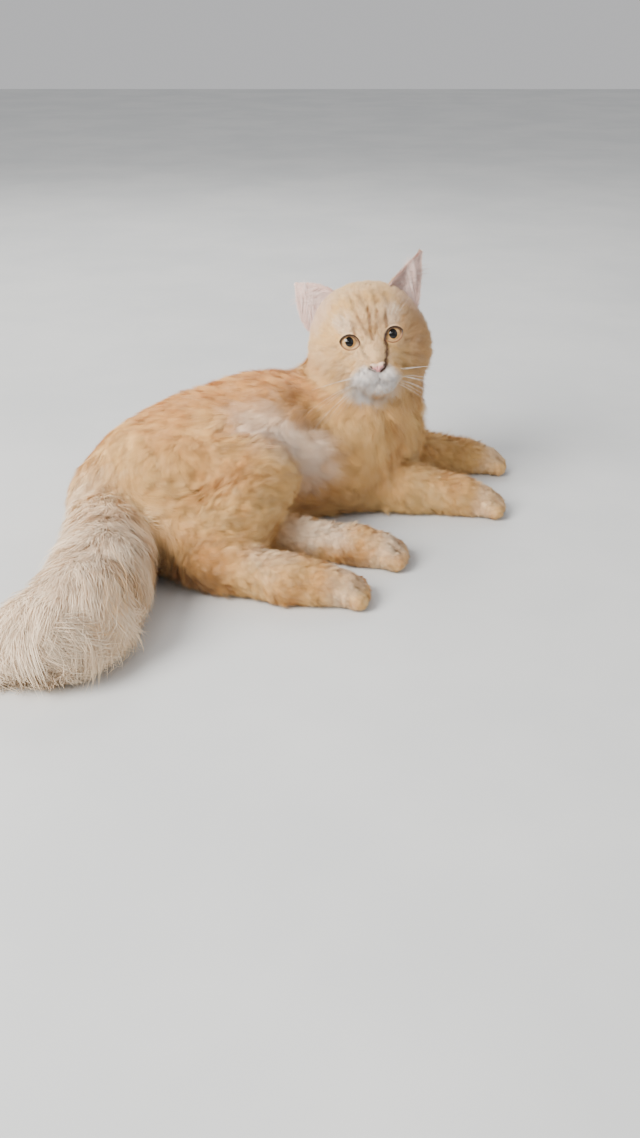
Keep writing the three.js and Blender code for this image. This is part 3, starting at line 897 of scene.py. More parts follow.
class Wire:
    """A socket whose operators add Math nodes, or Vector Math nodes where it carries a vector."""

    def __init__(self, nodes, socket):
        self.nodes = nodes
        self.socket = socket

    def is_vector(self):
        return self.socket.type == "VECTOR"

    def join(self, operation, *values):
        if self.is_vector():
            kind = "ShaderNodeVectorMath"
            values = [v if isinstance(v, Wire) or np.ndim(v) else (v,) * 3 for v in values]
        else:
            kind = "ShaderNodeMath"
        return self.nodes.add(kind, {"operation": operation}, dict(enumerate(values)))

    def __add__(self, other):
        return self.join("ADD", self, other)

    def __radd__(self, other):
        return self.join("ADD", other, self)

    def __sub__(self, other):
        return self.join("SUBTRACT", self, other)

    def __rsub__(self, other):
        return self.join("SUBTRACT", other, self)

    def __mul__(self, other):
        return self.join("MULTIPLY", self, other)

    def __rmul__(self, other):
        return self.join("MULTIPLY", other, self)

    def __truediv__(self, other):
        return self.join("DIVIDE", self, other)

    def __rtruediv__(self, other):
        return self.join("DIVIDE", other, self)

    def dot(self, direction):
        values = {0: self, 1: tuple(direction)}
        return self.nodes.add("ShaderNodeVectorMath", {"operation": "DOT_PRODUCT"}, values, "Value")

    def parts(self):
        """The three numbers of a vector."""
        return [self.dot(axis) for axis in ((1, 0, 0), (0, 1, 0), (0, 0, 1))]

    def length(self):
        return self.nodes.add("ShaderNodeVectorMath", {"operation": "LENGTH"}, {0: self}, "Value")

    def step(self, low, high):
        """0 below low and 1 above high, or the other way round, with a soft way between."""
        swap = low > high
        settings = {"interpolation_type": "SMOOTHSTEP"}
        values = {"Value": self, "From Min": min(low, high), "From Max": max(low, high),
                  "To Min": 1.0 if swap else 0.0, "To Max": 0.0 if swap else 1.0}
        return self.nodes.add("ShaderNodeMapRange", settings, values)

    def root(self):
        return self.nodes.add("ShaderNodeMath", {"operation": "SQRT"}, {0: self})

    def most(self, other):
        return self.nodes.add("ShaderNodeMath", {"operation": "MAXIMUM"}, {0: self, 1: other})

    def absolute(self):
        return self.nodes.add("ShaderNodeMath", {"operation": "ABSOLUTE"}, {0: self})


def rgb(red, green, blue):
    """A colour as it is seen on a screen, from 0 to 255, in the light that it gives back."""
    def linear(value):
        value /= 255
        return value / 12.92 if value <= 0.04045 else ((value + 0.055) / 1.055) ** 2.4
    return tuple(linear(value) for value in (red, green, blue))


def mixed(nodes, share, first, second, way="MIX"):
    node = nodes.tree.nodes.new("ShaderNodeMix")
    node.data_type = "RGBA"
    node.blend_type = way
    colours = [socket for socket in node.inputs if socket.type == "RGBA"]
    for socket, value in [(node.inputs[0], share), (colours[0], first), (colours[1], second)]:
        if isinstance(value, Wire):
            nodes.tree.links.new(value.socket, socket)
        else:
            socket.default_value = (*value, 1) if np.ndim(value) else value
    return Wire(nodes, [socket for socket in node.outputs if socket.type == "RGBA"][0])


def tinted(nodes, share, colour, tint):
    """A colour darkened by a share of a tint."""
    return mixed(nodes, share, colour, tint, "MULTIPLY")


def noise(nodes, place, size, detail=2.0, rough=0.5):
    """Soft cloudy values about 0.5, whose blots are about size metres across."""
    values = {"Vector": place, "Scale": 1 / size, "Detail": detail, "Roughness": rough}
    return nodes.add("ShaderNodeTexNoise", {}, values, "Fac")


def away_from(place, centre):
    """How far a place lies from one of the working frame, in metres."""
    return (place - tuple(metres(centre))).length()


def span_of(*sides):
    """The length of a line with these sides."""
    return sum((side * side for side in sides[1:]), sides[0] * sides[0]).root()


def blob(place, centre, radius, edge):
    """1 inside a ball about a place of the working frame, falling softly to 0 at its radius."""
    return away_from(place, centre).step(radius * MM, radius * MM * (1 - edge))


def finish_surface(nodes, **values):
    bump = values.pop("bump", None)
    if bump is not None:
        height, strength, distance = bump
        normal = nodes.add("ShaderNodeBump", {}, {
            "Height": height, "Strength": strength, "Distance": distance})
        values["Normal"] = normal
    names = {name.replace("_", " "): value for name, value in values.items()}
    surface = nodes.add("ShaderNodeBsdfPrincipled", {}, names)
    nodes.add("ShaderNodeOutputMaterial", {}, {"Surface": surface})
    return nodes.material


# Finishes

CREAM = rgb(243, 200, 130)
APRICOT = rgb(232, 170, 98)
# Rust fur, also used for painted shade in gaps and hollows
RUST_AND_SHADE = rgb(150, 98, 54)
PALE = rgb(251, 229, 200)
MILK = rgb(251, 231, 212)
FACE = rgb(240, 204, 154)
# Painted shade for the side of the face away from the key light
FACE_SHADE = rgb(200, 156, 106)
BLUSH = rgb(244, 210, 188)
WHITE = rgb(232, 228, 226)
STRIPE = rgb(138, 88, 44)
TEAR_STAIN_AND_SHADE = rgb(80, 42, 24)
# A tint of painted shade, for the coat's roots, for creases and folds, and for the skin under the coat
PAINTED_SHADE_TINT = (0.62, 0.49, 0.36)


def head_place(place):
    """The head's own x, y and z of a place, in metres."""
    offset = place - tuple(metres(HEAD_CENTRE))
    return [offset.dot(axis) for axis in HEAD_AXES]


# Places of the working frame with the colour that the coat takes there: radius, softness and share. Some of
# them also paint light or shade, as noted below.
PATCHES = (
    (APRICOT, (-60, 50, 150), 70, 0.9, 0.85), (APRICOT, (-140, 10, 124), 54, 0.9, 0.8),
    (APRICOT, (-20, 66, 128), 44, 0.8, 0.8), (APRICOT, (-110, 20, 140), 50, 0.9, 0.4),
    (APRICOT, (-106, -132, 39), 42, 0.8, 0.5), (APRICOT, (-92, -66, 80), 40, 0.9, 0.7),
    (APRICOT, (-128, -30, 110), 50, 0.9, 0.4), (APRICOT, (20, 40, 60), 60, 0.9, 0.4),
    # The rust patches that follow paint rust fur with painted shade: between the tail and the hock, under the
    # belly by the floor and in the hollow behind the shoulder
    (APRICOT, (-88, 33, 139), 36, 0.9, 0.5), (RUST_AND_SHADE, (-146, -112, 20), 50, 0.7, 1.0),
    (RUST_AND_SHADE, (-112, -134, 24), 30, 0.9, 0.75), (RUST_AND_SHADE, (34, 20, 16), 40, 0.9, 0.5),
    (RUST_AND_SHADE, (0, 0, 22), 32, 0.9, 0.7), (RUST_AND_SHADE, (27, -78, 6), 20, 0.8, 0.5),
    (RUST_AND_SHADE, (-27, -150, 27), 12, 0.9, 0.45), (RUST_AND_SHADE, (-18, 36, 128), 30, 0.9, 0.85),
    (RUST_AND_SHADE, (-4, 20, 110), 28, 0.9, 0.85), (RUST_AND_SHADE, (12, 18, 86), 22, 0.9, 0.6),
    (MILK, (-44, -4, 104), 54, 0.8, 0.95), (MILK, (-14, 2, 78), 40, 0.9, 0.85),
    (PALE, (-215, -150, 50), 100, 0.6, 1.0), (PALE, (-228, -66, 60), 74, 1.0, 0.9),
    (PALE, (-240, -262, 26), 76, 0.5, 1.0), (PALE, (-190, -215, 56), 60, 0.6, 1.0),
    (CREAM, (-146, -200, 40), 56, 0.9, 0.9), (CREAM, (-148, -130, 26), 52, 0.9, 0.9),
    (CREAM, (-164, -70, 70), 44, 1.0, 0.9), (PALE, (-50, -130, 42), 34, 0.9, 0.5),
    # These two pale patches paint the far hind foot's pale top, with painted light where the thigh's and
    # knee's shadow falls on it
    (PALE, (12, -56, 34), 30, 0.8, 0.9), (PALE, (-20, -62, 32), 30, 0.7, 0.85),
    (PALE, (18, -138, 14), 30, 0.8, 0.9), (PALE, (58, -66, 14), 32, 0.8, 0.9),
    (PALE, (172, 47, 14), 30, 0.8, 0.6), (PALE, (190, 158, 14), 30, 0.8, 0.6),
)


def markings(nodes, place):
    """The coat's colour at a place: cream with apricot shoulders and hips, a pale face, tail and flank, with
    painted shade on the face's lower left side, along the nostrils and mouth, in creases and folds and in
    some patches.
    """
    clouds = noise(nodes, place, 0.05, 3, 0.6)
    colour = mixed(nodes, clouds.step(0.4, 0.66) * 0.65, CREAM, APRICOT)
    for patch, centre, radius, edge, share in PATCHES:
        wide = (noise(nodes, place, 0.02) - 0.5) * 0.03 + away_from(place, centre)
        colour = mixed(nodes, wide.step(radius * MM, radius * MM * (1 - edge)) * share, colour, patch)
    x, y, z = head_place(place)
    ears = z.step(0.026, 0.034) * blob(place, HEAD_CENTRE, 125, 0.1)
    on_head = blob(place, HEAD_CENTRE, 68, 0.25).most(ears)
    face = mixed(nodes, noise(nodes, place, 0.025).step(0.4, 0.7), FACE, CREAM)
    # Painted shade on the lower left side of the face, away from the key light
    face = mixed(nodes, x.step(-0.008, -0.045) * z.step(0.04, 0.02), face, FACE_SHADE)
    off_skull = span_of(x * 18.9, y * 20.8 + 0.12, z * 22 - 0.24)
    face = mixed(nodes, off_skull.step(1.1, 1.22) * z.step(0.024, 0.034) * 0.9, face, BLUSH)
    colour = mixed(nodes, on_head, colour, face)
    for side in (1, -1):
        brow = away_from(place, from_head((side * 21, 36, 17))).step(0.013, 0.004)
        colour = mixed(nodes, brow * 0.7, colour, PALE)
        by_ear = away_from(place, from_head((side * 38, 6, 26))).step(0.03, 0.01)
        colour = mixed(nodes, by_ear * 0.5, colour, BLUSH)
    stripe, dark, crease_shade = nodes.attribute("marks").parts()
    colour = mixed(nodes, stripe * 0.85, colour, STRIPE)
    muzzle = span_of((x - 0.004) * 0.72, (z + 0.037) * 1.25) + (noise(nodes, place, 0.02) - 0.5) * 0.008
    colour = mixed(nodes, muzzle.step(0.021, 0.013) * y.step(0.008, 0.024), colour, WHITE)
    # Tear stains and dark lid skin, with painted shade along the nostrils, the philtrum and the mouth
    colour = mixed(nodes, dark, colour, TEAR_STAIN_AND_SHADE)
    # Painted shade in the toe creases and the folds' troughs
    return tinted(nodes, crease_shade * 0.8, colour, PAINTED_SHADE_TINT)


def make_coat_finish():
    nodes = Nodes("coat_finish")
    root = nodes.attribute("root")
    tuft = nodes.attribute("tuft")
    share, chance, shade = tuft.parts()
    colour = markings(nodes, root)
    colour = tinted(nodes, chance.step(0.5, 0.05) * 0.34, colour, (0.8, 0.64, 0.46))
    colour = mixed(nodes, chance.step(0.5, 0.95) * 0.2, colour, PALE)
    # Painted shade at the roots: each strand darkens towards its root by the part's root shade
    colour = tinted(nodes, share.step(0.75, 0) * 0.5 * shade, colour, PAINTED_SHADE_TINT)
    return finish_surface(nodes, Base_Color=colour, Roughness=0.75, Sheen_Weight=0.12, Sheen_Roughness=0.5,
                          Specular_IOR_Level=0.25)


def make_skin_finish():
    nodes = Nodes("skin_finish")
    place = nodes.object_place()
    colour = markings(nodes, place)
    # Painted shade: the skin, which lies under the coat, is darkened all over
    colour = tinted(nodes, 0.45, colour, PAINTED_SHADE_TINT)
    grain = noise(nodes, place, 0.0025, 4, 0.7)
    return finish_surface(nodes, Base_Color=colour, Roughness=0.8, bump=(grain, 0.5, 0.001))


def make_eye_finish():
    """An amber iris with a dark rim and fine rays, about a wide black pupil."""
    nodes = Nodes("eye_finish")
    gaze = nodes.attribute("gaze")
    off_axis = (gaze * (1, 1, 0)).length()
    oval = ((gaze - (0.02, 0.06, 0)) * (1.0, 0.86, 0)).length()
    around = nodes.add("ShaderNodeVectorMath", {"operation": "NORMALIZE"}, {0: gaze * (1, 1, 0)})
    rays = noise(nodes, around, 0.12, 3)
    iris = mixed(nodes, rays.step(0.3, 0.7), rgb(222, 178, 118), rgb(184, 138, 82))
    iris = mixed(nodes, off_axis.step(0.4, 0.6) * 0.4, iris, rgb(232, 196, 146))
    iris = mixed(nodes, off_axis.step(0.62, 0.78), iris, rgb(66, 38, 22))
    colour = mixed(nodes, oval.step(0.345, 0.385), rgb(5, 4, 4), iris)
    colour = mixed(nodes, off_axis.step(0.8, 0.86), colour, rgb(40, 24, 16))
    return finish_surface(nodes, Base_Color=colour, Roughness=0.25, Specular_IOR_Level=0.0,
                          Coat_Weight=0.8, Coat_Roughness=0.02)


def make_rim_finish():
    nodes = Nodes("lid_rim_finish")
    place = nodes.object_place()
    x, y, z = head_place(place)
    upper = (z - EYE_HEIGHT * MM).step(-0.003, 0.0015).most(x.absolute().step(0.0145, 0.012))
    colour = mixed(nodes, upper, rgb(158, 110, 72), rgb(38, 22, 15))
    colour = mixed(nodes, noise(nodes, place, 0.002) * 0.3, colour, rgb(60, 36, 26))
    return finish_surface(nodes, Base_Color=colour, Roughness=0.35)


def make_nose_finish():
    nodes = Nodes("nose_finish")
    place = nodes.object_place()
    x, y, z = head_place(place)
    grain = noise(nodes, place, 0.0012, 2, 0.6)
    colour = mixed(nodes, noise(nodes, place, 0.006), rgb(226, 160, 158), rgb(208, 140, 134))
    colour = mixed(nodes, z.step(-0.0268, -0.0235) * 0.85, colour, rgb(232, 204, 172))
    # Painted shade inside the nostrils: dark along the nose's sides and at its lower corners
    side = x.absolute().step(0.0044, 0.006) * z.step(-0.022, -0.0245)
    under = x.absolute().step(0.0014, 0.0026) * z.step(-0.0272, -0.029)
    colour = mixed(nodes, side.most(under) * 0.95, colour, rgb(48, 22, 17))
    return finish_surface(nodes, Base_Color=colour, Roughness=0.45, bump=(grain, 0.4, 0.0006))


def make_ear_finish():
    nodes = Nodes("ear_skin_finish")
    place = nodes.object_place()
    colour = mixed(nodes, noise(nodes, place, 0.012).step(0.3, 0.7), rgb(230, 186, 174), rgb(218, 168, 156))
    grain = noise(nodes, place, 0.0015, 3, 0.6)
    return finish_surface(nodes, Base_Color=colour, Roughness=0.6, bump=(grain, 0.3, 0.0006))


def make_ear_fur_finish():
    nodes = Nodes("ear_fur_finish")
    tuft = nodes.attribute("tuft")
    share, chance, _ = tuft.parts()
    colour = mixed(nodes, chance.step(0.2, 0.9), rgb(248, 224, 214), rgb(240, 204, 190))
    # Painted shade at the roots of the ears' fur
    colour = mixed(nodes, share.step(0.5, 0) * 0.35, colour, rgb(230, 184, 168))
    return finish_surface(nodes, Base_Color=colour, Roughness=0.7, Sheen_Weight=0.12)


def make_whisker_finish():
    nodes = Nodes("whisker_finish")
    place = nodes.object_place()
    colour = mixed(nodes, noise(nodes, place, 0.01), rgb(250, 248, 244), rgb(236, 230, 222))
    return finish_surface(nodes, Base_Color=colour, Roughness=0.3)


coat_finish = make_coat_finish()
skin_finish = make_skin_finish()
ear_fur_finish = make_ear_fur_finish()


def dress(piece, finish):
    piece.data.materials.clear()
    piece.data.materials.append(finish)


dress(skin, skin_finish)
eye_finish = make_eye_finish()
dress(eye_right, eye_finish)
dress(eye_left, eye_finish)
dress(lid_rims, make_rim_finish())
dress(nose, make_nose_finish())
ear_finish = make_ear_finish()
for shell in ears.values():
    dress(shell, ear_finish)

# The coat: tufts of three flat, tapered strands each, rooted on the skin

SEGMENTS = 3
STRANDS = 3
PIECE_LIMIT = 195000
random = np.random.default_rng(11)

# Each part's coat: tuft length, height of the tips over the skin, strand width, tufts on a square centimetre,
# how far tips gather into locks, how far apart the locks stand, how far a tuft's strands part, and root shade
COATS = {
    "head": (8.5, 2.8, 0.38, 230, 0.35, 4.5, 1.0, 0.7),
    "neck": (29, 13, 0.6, 60, 0.45, 9, 2.2, 0.9),
    "torso": (20, 7, 0.5, 105, 0.45, 7.5, 2.0, 0.9),
    "thigh_right": (17, 7.5, 0.5, 120, 0.5, 6, 1.9, 0.9),
    "shank_right": (14, 6.5, 0.5, 130, 0.5, 5.5, 1.8, 0.9),
    "foot_right": (9.5, 4.0, 0.44, 150, 0.45, 5, 1.5, 0.8),
    "thigh_left": (18, 6, 0.6, 60, 0.45, 7, 2.0, 1.0),
    "foot_left": (9.5, 4.4, 0.44, 150, 0.45, 5, 1.5, 0.8),
    "foreleg_right": (11.5, 7.0, 0.46, 135, 0.45, 5, 1.7, 0.75),
    "foreleg_left": (11.5, 6.6, 0.46, 125, 0.45, 5, 1.7, 0.75),
    "tail_base": (34, 17, 0.52, 56, 0.4, 9, 3.0, 0.5),
    "tail_middle": (40, 21, 0.52, 58, 0.5, 10, 3.2, 0.5),
    "tail_tip": (40, 21, 0.52, 60, 0.5, 10, 3.2, 0.5),
    "forepaw_right": (4.4, 1.8, 0.36, 230, 0.3, 3.5, 0.9, 0.9),
    "forepaw_left": (4.4, 1.8, 0.36, 220, 0.3, 3.5, 0.9, 0.9),
    "hindpaw_right": (4.8, 2.0, 0.36, 230, 0.3, 3.5, 0.9, 0.9),
    "hindpaw_left": (5.2, 2.2, 0.36, 230, 0.3, 3.5, 0.9, 0.9),
}
# How far the tufts' headings stray on the parts with these names, and on all others
STRAY_HEADING = {"head": 0.14, "paw": 0.12, "foot": 0.16, "leg": 0.2}
STRAY_BODY = 0.27
COAT_NAMES = list(COATS)
# Which way each part's coat lies
LIES = {
    "neck": (-0.1, -0.1, -1), "torso": (-0.9, -0.3, -0.3), "thigh_right": (0.7, -0.25, -0.4),
    "shank_right": (0.85, 0.1, 0.12), "foot_right": (0.95, -0.1, -0.15), "thigh_left": (0.7, -0.3, -0.5),
    "foot_left": (0.95, -0.2, -0.15), "foreleg_right": (0.6, -0.3, -0.6), "foreleg_left": (0.6, -0.3, -0.6),
    "forepaw_right": (0.9, -0.14, -0.5), "forepaw_left": (0.9, -0.05, -0.5),
    "hindpaw_right": (0.9, -0.06, -0.5), "hindpaw_left": (0.9, -0.12, -0.5),
}
# On the flank the coat turns forwards, on the chest it falls, and on the rump it runs down into the tail's
FLANK_LIE = (0.8, -0.25, -0.5)
CHEST_LIE = (0.1, -0.2, -1)
RUMP_LIE = (-0.45, -0.75, -0.5)
# Longer hair hangs about this place, between the hip and the tail
SKIRT, SKIRT_RADIUS, SKIRT_LIE = (-146, -92, 24), 34, (-0.1, -0.8, -0.6)
# The tail's middle line from above, and where its tip closes
TAIL_LINE = ((-205, -52), (-190, -100), (-188, -155), (-193, -215), (-212, -246), (-249, -262), (-276, -264))
TAIL_END = -262
# How softly one part's coat passes into the next, and where it does so three times as softly
BLEND_WIDTH = 6
TAIL_ROOT, TAIL_ROOT_RADIUS = (-200, -64, 50), 50
# The ends of the strands' lengths that each region keeps: short fur is straight, and the tail's bends most
KEPT_STEPS = {"neck": [0, 1, 3], "tail": [0, 1, 2, 3]}
STRAIGHT = [0, SEGMENTS]
# The side of a tuft's patch on the unwrap
PATCH = 0.003


def part_weights(p):
    """How much each part's coat counts at points, from how near each part is."""
    distances = [face_form(to_head(p)) if name == "head" else PARTS[name](p) for name in COAT_NAMES]
    distances = np.stack(distances, axis=1)
    width = BLEND_WIDTH * (1 + 2 * mound(far(p, TAIL_ROOT), TAIL_ROOT_RADIUS))
    near = np.exp(-(distances - distances.min(1, keepdims=True)) / width[:, None])
    return near / near.sum(1, keepdims=True)


def rising(value, low, high):
    """Close to 0 below low and to 1 above high, with a soft way between."""
    return 1 / (1 + np.exp(-4 * (2 * value - low - high) / (high - low)))


def by_lid(local, side):
    """1 at the edge of the lids, falling off about it."""
    return bell(np.maximum(lid_distance(local, side), 0), 5) * (local[:, 1] > FACE_FRONT)


def head_lie(p):
    """The head's coat spreads from the nose over the forehead and cheeks, and falls behind them."""
    local = to_head(p)
    spread = unit(local - (0, 42, -16))
    fall = np.clip((12 - local[:, 1]) / 40, 0, 1)[:, None]
    below = np.clip((-10 - local[:, 2]) / 30, 0, 1)[:, None]
    lie = spread * (1 - 0.6 * fall) + np.array((0, -0.25, -0.75)) * fall + np.array((0, -0.4, -0.5)) * below
    for side in (1, -1):
        away = unit((local - eye_centre(side)) * (1, 0, 1))
        lie = lie + 1.5 * away * by_lid(local, side)[:, None]
    for ear in EARS.values():
        near = bell(far(local, ear["base"]), 15)
        lie = lie + 1.4 * (unit(np.array(ear["up"], float)) + (0, 0.3, 0)) * near[:, None]
    return lie @ HEAD_AXES


def torso_lie(p):
    back = np.array(LIES["torso"], float)
    flank = rising(p[:, 0], -75, -25) * rising(-p[:, 2], -128, -100) * rising(-p[:, 1], -85, -45)
    chest = rising(p[:, 0], 25, 55)
    rump = rising(-p[:, 0], 165, 200)
    lie = back
    for share, way in ((flank, FLANK_LIE), (chest, CHEST_LIE), (rump, RUMP_LIE)):
        lie = lie * (1 - share[:, None]) + np.array(way) * share[:, None]
    return lie


def tail_lie(p):
    """The tail's coat runs along it and parts to both of its sides."""
    line = np.array(TAIL_LINE, float)
    middle = np.interp(-p[:, 1], -line[:, 1], line[:, 0])
    aside = np.clip((p[:, 0] - middle) / 28, -1, 1.4)
    aside = 0.8 * aside * np.abs(aside) * (p[:, 0] > -240)
    end = rising(-p[:, 0], 205, 255)[:, None]
    inward = np.clip((TAIL_END - p[:, 1]) / 22, -1, 1)
    along = np.column_stack([1.1 * aside, np.full(len(p), -0.6), np.full(len(p), -0.3)])
    closing = np.column_stack([np.full(len(p), -0.85), 0.4 * inward - 0.2, np.full(len(p), -0.2)])
    return along * (1 - end) + closing * end


def coat_lie(p, weights):
    lie = np.zeros_like(p)
    for i, name in enumerate(COAT_NAMES):
        if name == "head":
            way = head_lie(p)
        elif name == "torso":
            way = torso_lie(p)
        elif "tail" in name:
            way = tail_lie(p)
        else:
            way = np.array(LIES[name], float)
        lie = lie + weights[:, i:i + 1] * way
    return lie


class Roots:
    """Places drawn on the skin's triangles, each with its place on the skin's unwrap."""

    def __init__(self, piece):
        mesh = piece.data
        mesh.calc_loop_triangles()
        corners = read_values(mesh.loop_triangles, "vertices", kind=int)
        loops = read_values(mesh.loop_triangles, "loops", kind=int)
        self.triangles = mesh_places(piece)[corners]
        self.unwrap = read_values(mesh.uv_layers["OFBake"].data, "uv", 2)[loops]
        edges = self.triangles[:, 1:] - self.triangles[:, :1]
        self.areas = np.linalg.norm(np.cross(edges[:, 0], edges[:, 1]), axis=1) / 2

    def draw(self, density):
        """density is in tufts per square millimetre, one value a triangle."""
        wanted = self.areas * density
        count = int(round(wanted.sum()))
        chosen = random.choice(len(wanted), count, p=wanted / wanted.sum())
        share = random.random((count, 2))
        share = np.where(share.sum(1, keepdims=True) > 1, 1 - share, share)
        share = np.column_stack([1 - share.sum(1), share])[:, :, None]
        return (self.triangles[chosen] * share).sum(1), (self.unwrap[chosen] * share).sum(1)


def lie_lines(roots, headings, lengths, rises, curls):
    """Lines that start just under the skin and lie over it, rising to their tips."""
    at = roots
    level = np.clip(grid.read(roots)[0], -5, 3)
    lines = []
    ups = []
    for i in range(SEGMENTS + 1):
        share = i / SEGMENTS
        if i:
            at = at + headings * (lengths / SEGMENTS)[:, None]
        distance, up = grid.read(at)
        height = np.where(share == 0, -0.8, rises * math.sin(share * math.pi / 2))
        height = height + level * (1 - 0.35 * share)
        at = at + up * np.clip(height - distance, -6, 6)[:, None]
        lines.append(at)
        ups.append(up)
        headings = unit(headings - (headings * up).sum(1, keepdims=True) * up)
        side = np.cross(up, headings)
        turn = (curls / SEGMENTS)[:, None]
        headings = unit(headings * np.cos(turn) + side * np.sin(turn))
    return np.stack(lines, axis=1), np.stack(ups, axis=1)


def leaders_of(roots, spacing):
    """For each root, the root near it that its lock gathers to."""
    cells = np.floor(roots / spacing[:, None]).astype(int)
    _, leaders = np.unique(cells, axis=0, return_index=True)
    tree = KDTree(len(leaders))
    for i, leader in enumerate(leaders):
        tree.insert(roots[leader], int(leader))
    tree.balance()
    return np.array([tree.find(root)[1] for root in roots])


def gather(lines, leaders, amount):
    pull = (np.arange(lines.shape[1]) / (lines.shape[1] - 1)) ** 1.5
    return lines + (lines[leaders] - lines) * pull[None, :, None] * amount[:, None, None]


def strand_faces(segments):
    """The triangles of one flat strand, whose last one closes to its tip."""
    faces = []
    for a in range(0, 2 * segments - 2, 2):
        faces += [(a, a + 1, a + 3), (a, a + 3, a + 2)]
    a = 2 * segments - 2
    return np.array([*faces, (a, a + 1, a + 2)])


def tuft_mesh(name, lines, ups, widths, unwrap, spread, shown=None, chance=None, shares=None, shade=None):
    """One mesh of tufts, whose strands part towards their tips."""
    count = len(lines)
    share = np.linspace(0, 1, lines.shape[1]) if shares is None else np.array(shares)
    segments = len(share) - 1
    fullness = 0.75 + 0.6 * share * (1 - share) * 2 - 0.35 * share
    fullness[-1] = 0
    along = unit(np.gradient(lines, axis=1))
    side = unit(np.cross(along, ups))
    verts = []
    normals = []
    tufts = []
    unwraps = []
    if chance is None:
        chance = random.random(count)
        shown = np.zeros((count, 3))
        shade = np.full(count, 0.6)
    for strand in range(STRANDS):
        aside = strand - (STRANDS - 1) / 2
        part = aside * (0.5 * widths[:, None] + spread[:, None] * share ** 1.3)
        lift = 0.35 * widths[:, None] * share * random.normal(0, 1, count)[:, None]
        shorter = 1 - 0.3 * random.random(count) * (strand != 1)
        middle = lines[:, :1] + (lines - lines[:, :1]) * shorter[:, None, None]
        middle = middle + side * part[:, :, None] + ups * lift[:, :, None]
        twist = random.normal(0, 0.5, count)[:, None, None]
        flat = side * np.cos(twist) + ups * np.sin(twist)
        half = 0.5 * widths[:, None] * fullness
        left = middle[:, :-1] - flat[:, :-1] * half[:, :-1, None]
        right = middle[:, :-1] + flat[:, :-1] * half[:, :-1, None]
        ring = np.stack([left, right], axis=2).reshape(count, -1, 3)
        verts.append(np.concatenate([ring, middle[:, -1:]], axis=1))
        lean = ups + 0.2 * aside * side + 0.16 * random.normal(0, 1, (count, 1, 1)) * side
        lean = unit(lean)
        normals.append(np.concatenate([np.repeat(lean[:, :-1], 2, axis=1), lean[:, -1:]], axis=1))
        corners = np.concatenate([np.repeat(share[:-1], 2), share[-1:]])
        crosses = np.concatenate([np.tile((-1.0, 1.0), segments), (0.0,)])
        kept = np.zeros((count, len(corners), 3))
        kept[:, :, 0] = corners
        kept[:, :, 1] = np.clip(chance + random.normal(0, 0.12, count), 0, 1)[:, None]
        kept[:, :, 2] = shade[:, None]
        tufts.append(kept)
        patch = np.zeros((count, len(corners), 2))
        patch[:, :, 0] = unwrap[:, :1] + PATCH * (aside + 0.4 * crosses) / STRANDS
        patch[:, :, 1] = unwrap[:, 1:] + PATCH * (corners - 0.5)
        unwraps.append(patch)
    size = 2 * segments + 1
    verts = np.stack(verts, axis=1).reshape(-1, 3)
    normals = np.stack(normals, axis=1).reshape(-1, 3)
    tufts = np.stack(tufts, axis=1).reshape(-1, 3)
    unwraps = np.stack(unwraps, axis=1).reshape(-1, 2)
    starts = np.arange(count * STRANDS) * size
    triangles = (starts[:, None, None] + strand_faces(segments)).reshape(-1, 3)
    verts[:, 2] = np.maximum(verts[:, 2], 0.3)
    roots = np.repeat(metres(lines[:, 0]), STRANDS * size, axis=0)
    mesh = bpy.data.meshes.new(name)
    mesh.vertices.add(len(verts))
    mesh.vertices.foreach_set("co", metres(verts).ravel())
    mesh.loops.add(triangles.size)
    mesh.loops.foreach_set("vertex_index", triangles.ravel())
    mesh.polygons.add(len(triangles))
    mesh.polygons.foreach_set("loop_start", np.arange(0, triangles.size, 3))
    mesh.update(calc_edges=True)
    layer = mesh.uv_layers.new(name="OFBake")
    layer.data.foreach_set("uv", unwraps[triangles.ravel()].ravel())
    keep_vectors(mesh, "root", roots)
    keep_vectors(mesh, "tuft", tufts)
    keep_vectors(mesh, "marks", np.repeat(shown, STRANDS * size, axis=0))
    mesh.polygons.foreach_set("use_smooth", np.ones(len(triangles), bool))
    mesh.normals_split_custom_set_from_vertices(normals)
    piece = placed(name, mesh)
    mesh.materials.append(coat_finish)
    return piece


def coat_density(middles, sizes):
    """Tufts on a square millimetre: none underneath, between the lids or on the nose."""
    local = to_head(middles)
    bare = (middles[:, 2] < FLOOR_LEVEL + 1.5) | (nose_form(local) < 0.5)
    for side in (1, -1):
        bare |= (lid_distance(local, side) < 0.9) & (local[:, 1] > FACE_FRONT)
    return np.where(bare, 0, sizes[:, 3] / 100)


def fineness(local, on_head):
    """How the head's tufts grow, from short ones about the nose and the lids to long ones on the cheeks."""
    fine = np.clip(0.4 + (far(local, (0, 48, -22)) / 52) ** 1.6, 0.4, 2.4)
    fine = np.where(local[:, 2] > 18, np.minimum(fine, 1.1), fine)
    for side in (1, -1):
        fine = fine * (1 - 0.55 * by_lid(local, side))
    for ear in EARS.values():
        fine = fine * (1 + 0.7 * bell(far(local, ear["base"]), 14))
    chin = np.clip((22 - np.abs(local[:, 0])) / 6, 0, 1) * np.clip((-30 - local[:, 2]) / 8, 0, 1)
    fine = fine * (1 - chin) + np.minimum(fine, 1.1) * chin
    return 1 + (fine - 1) * on_head


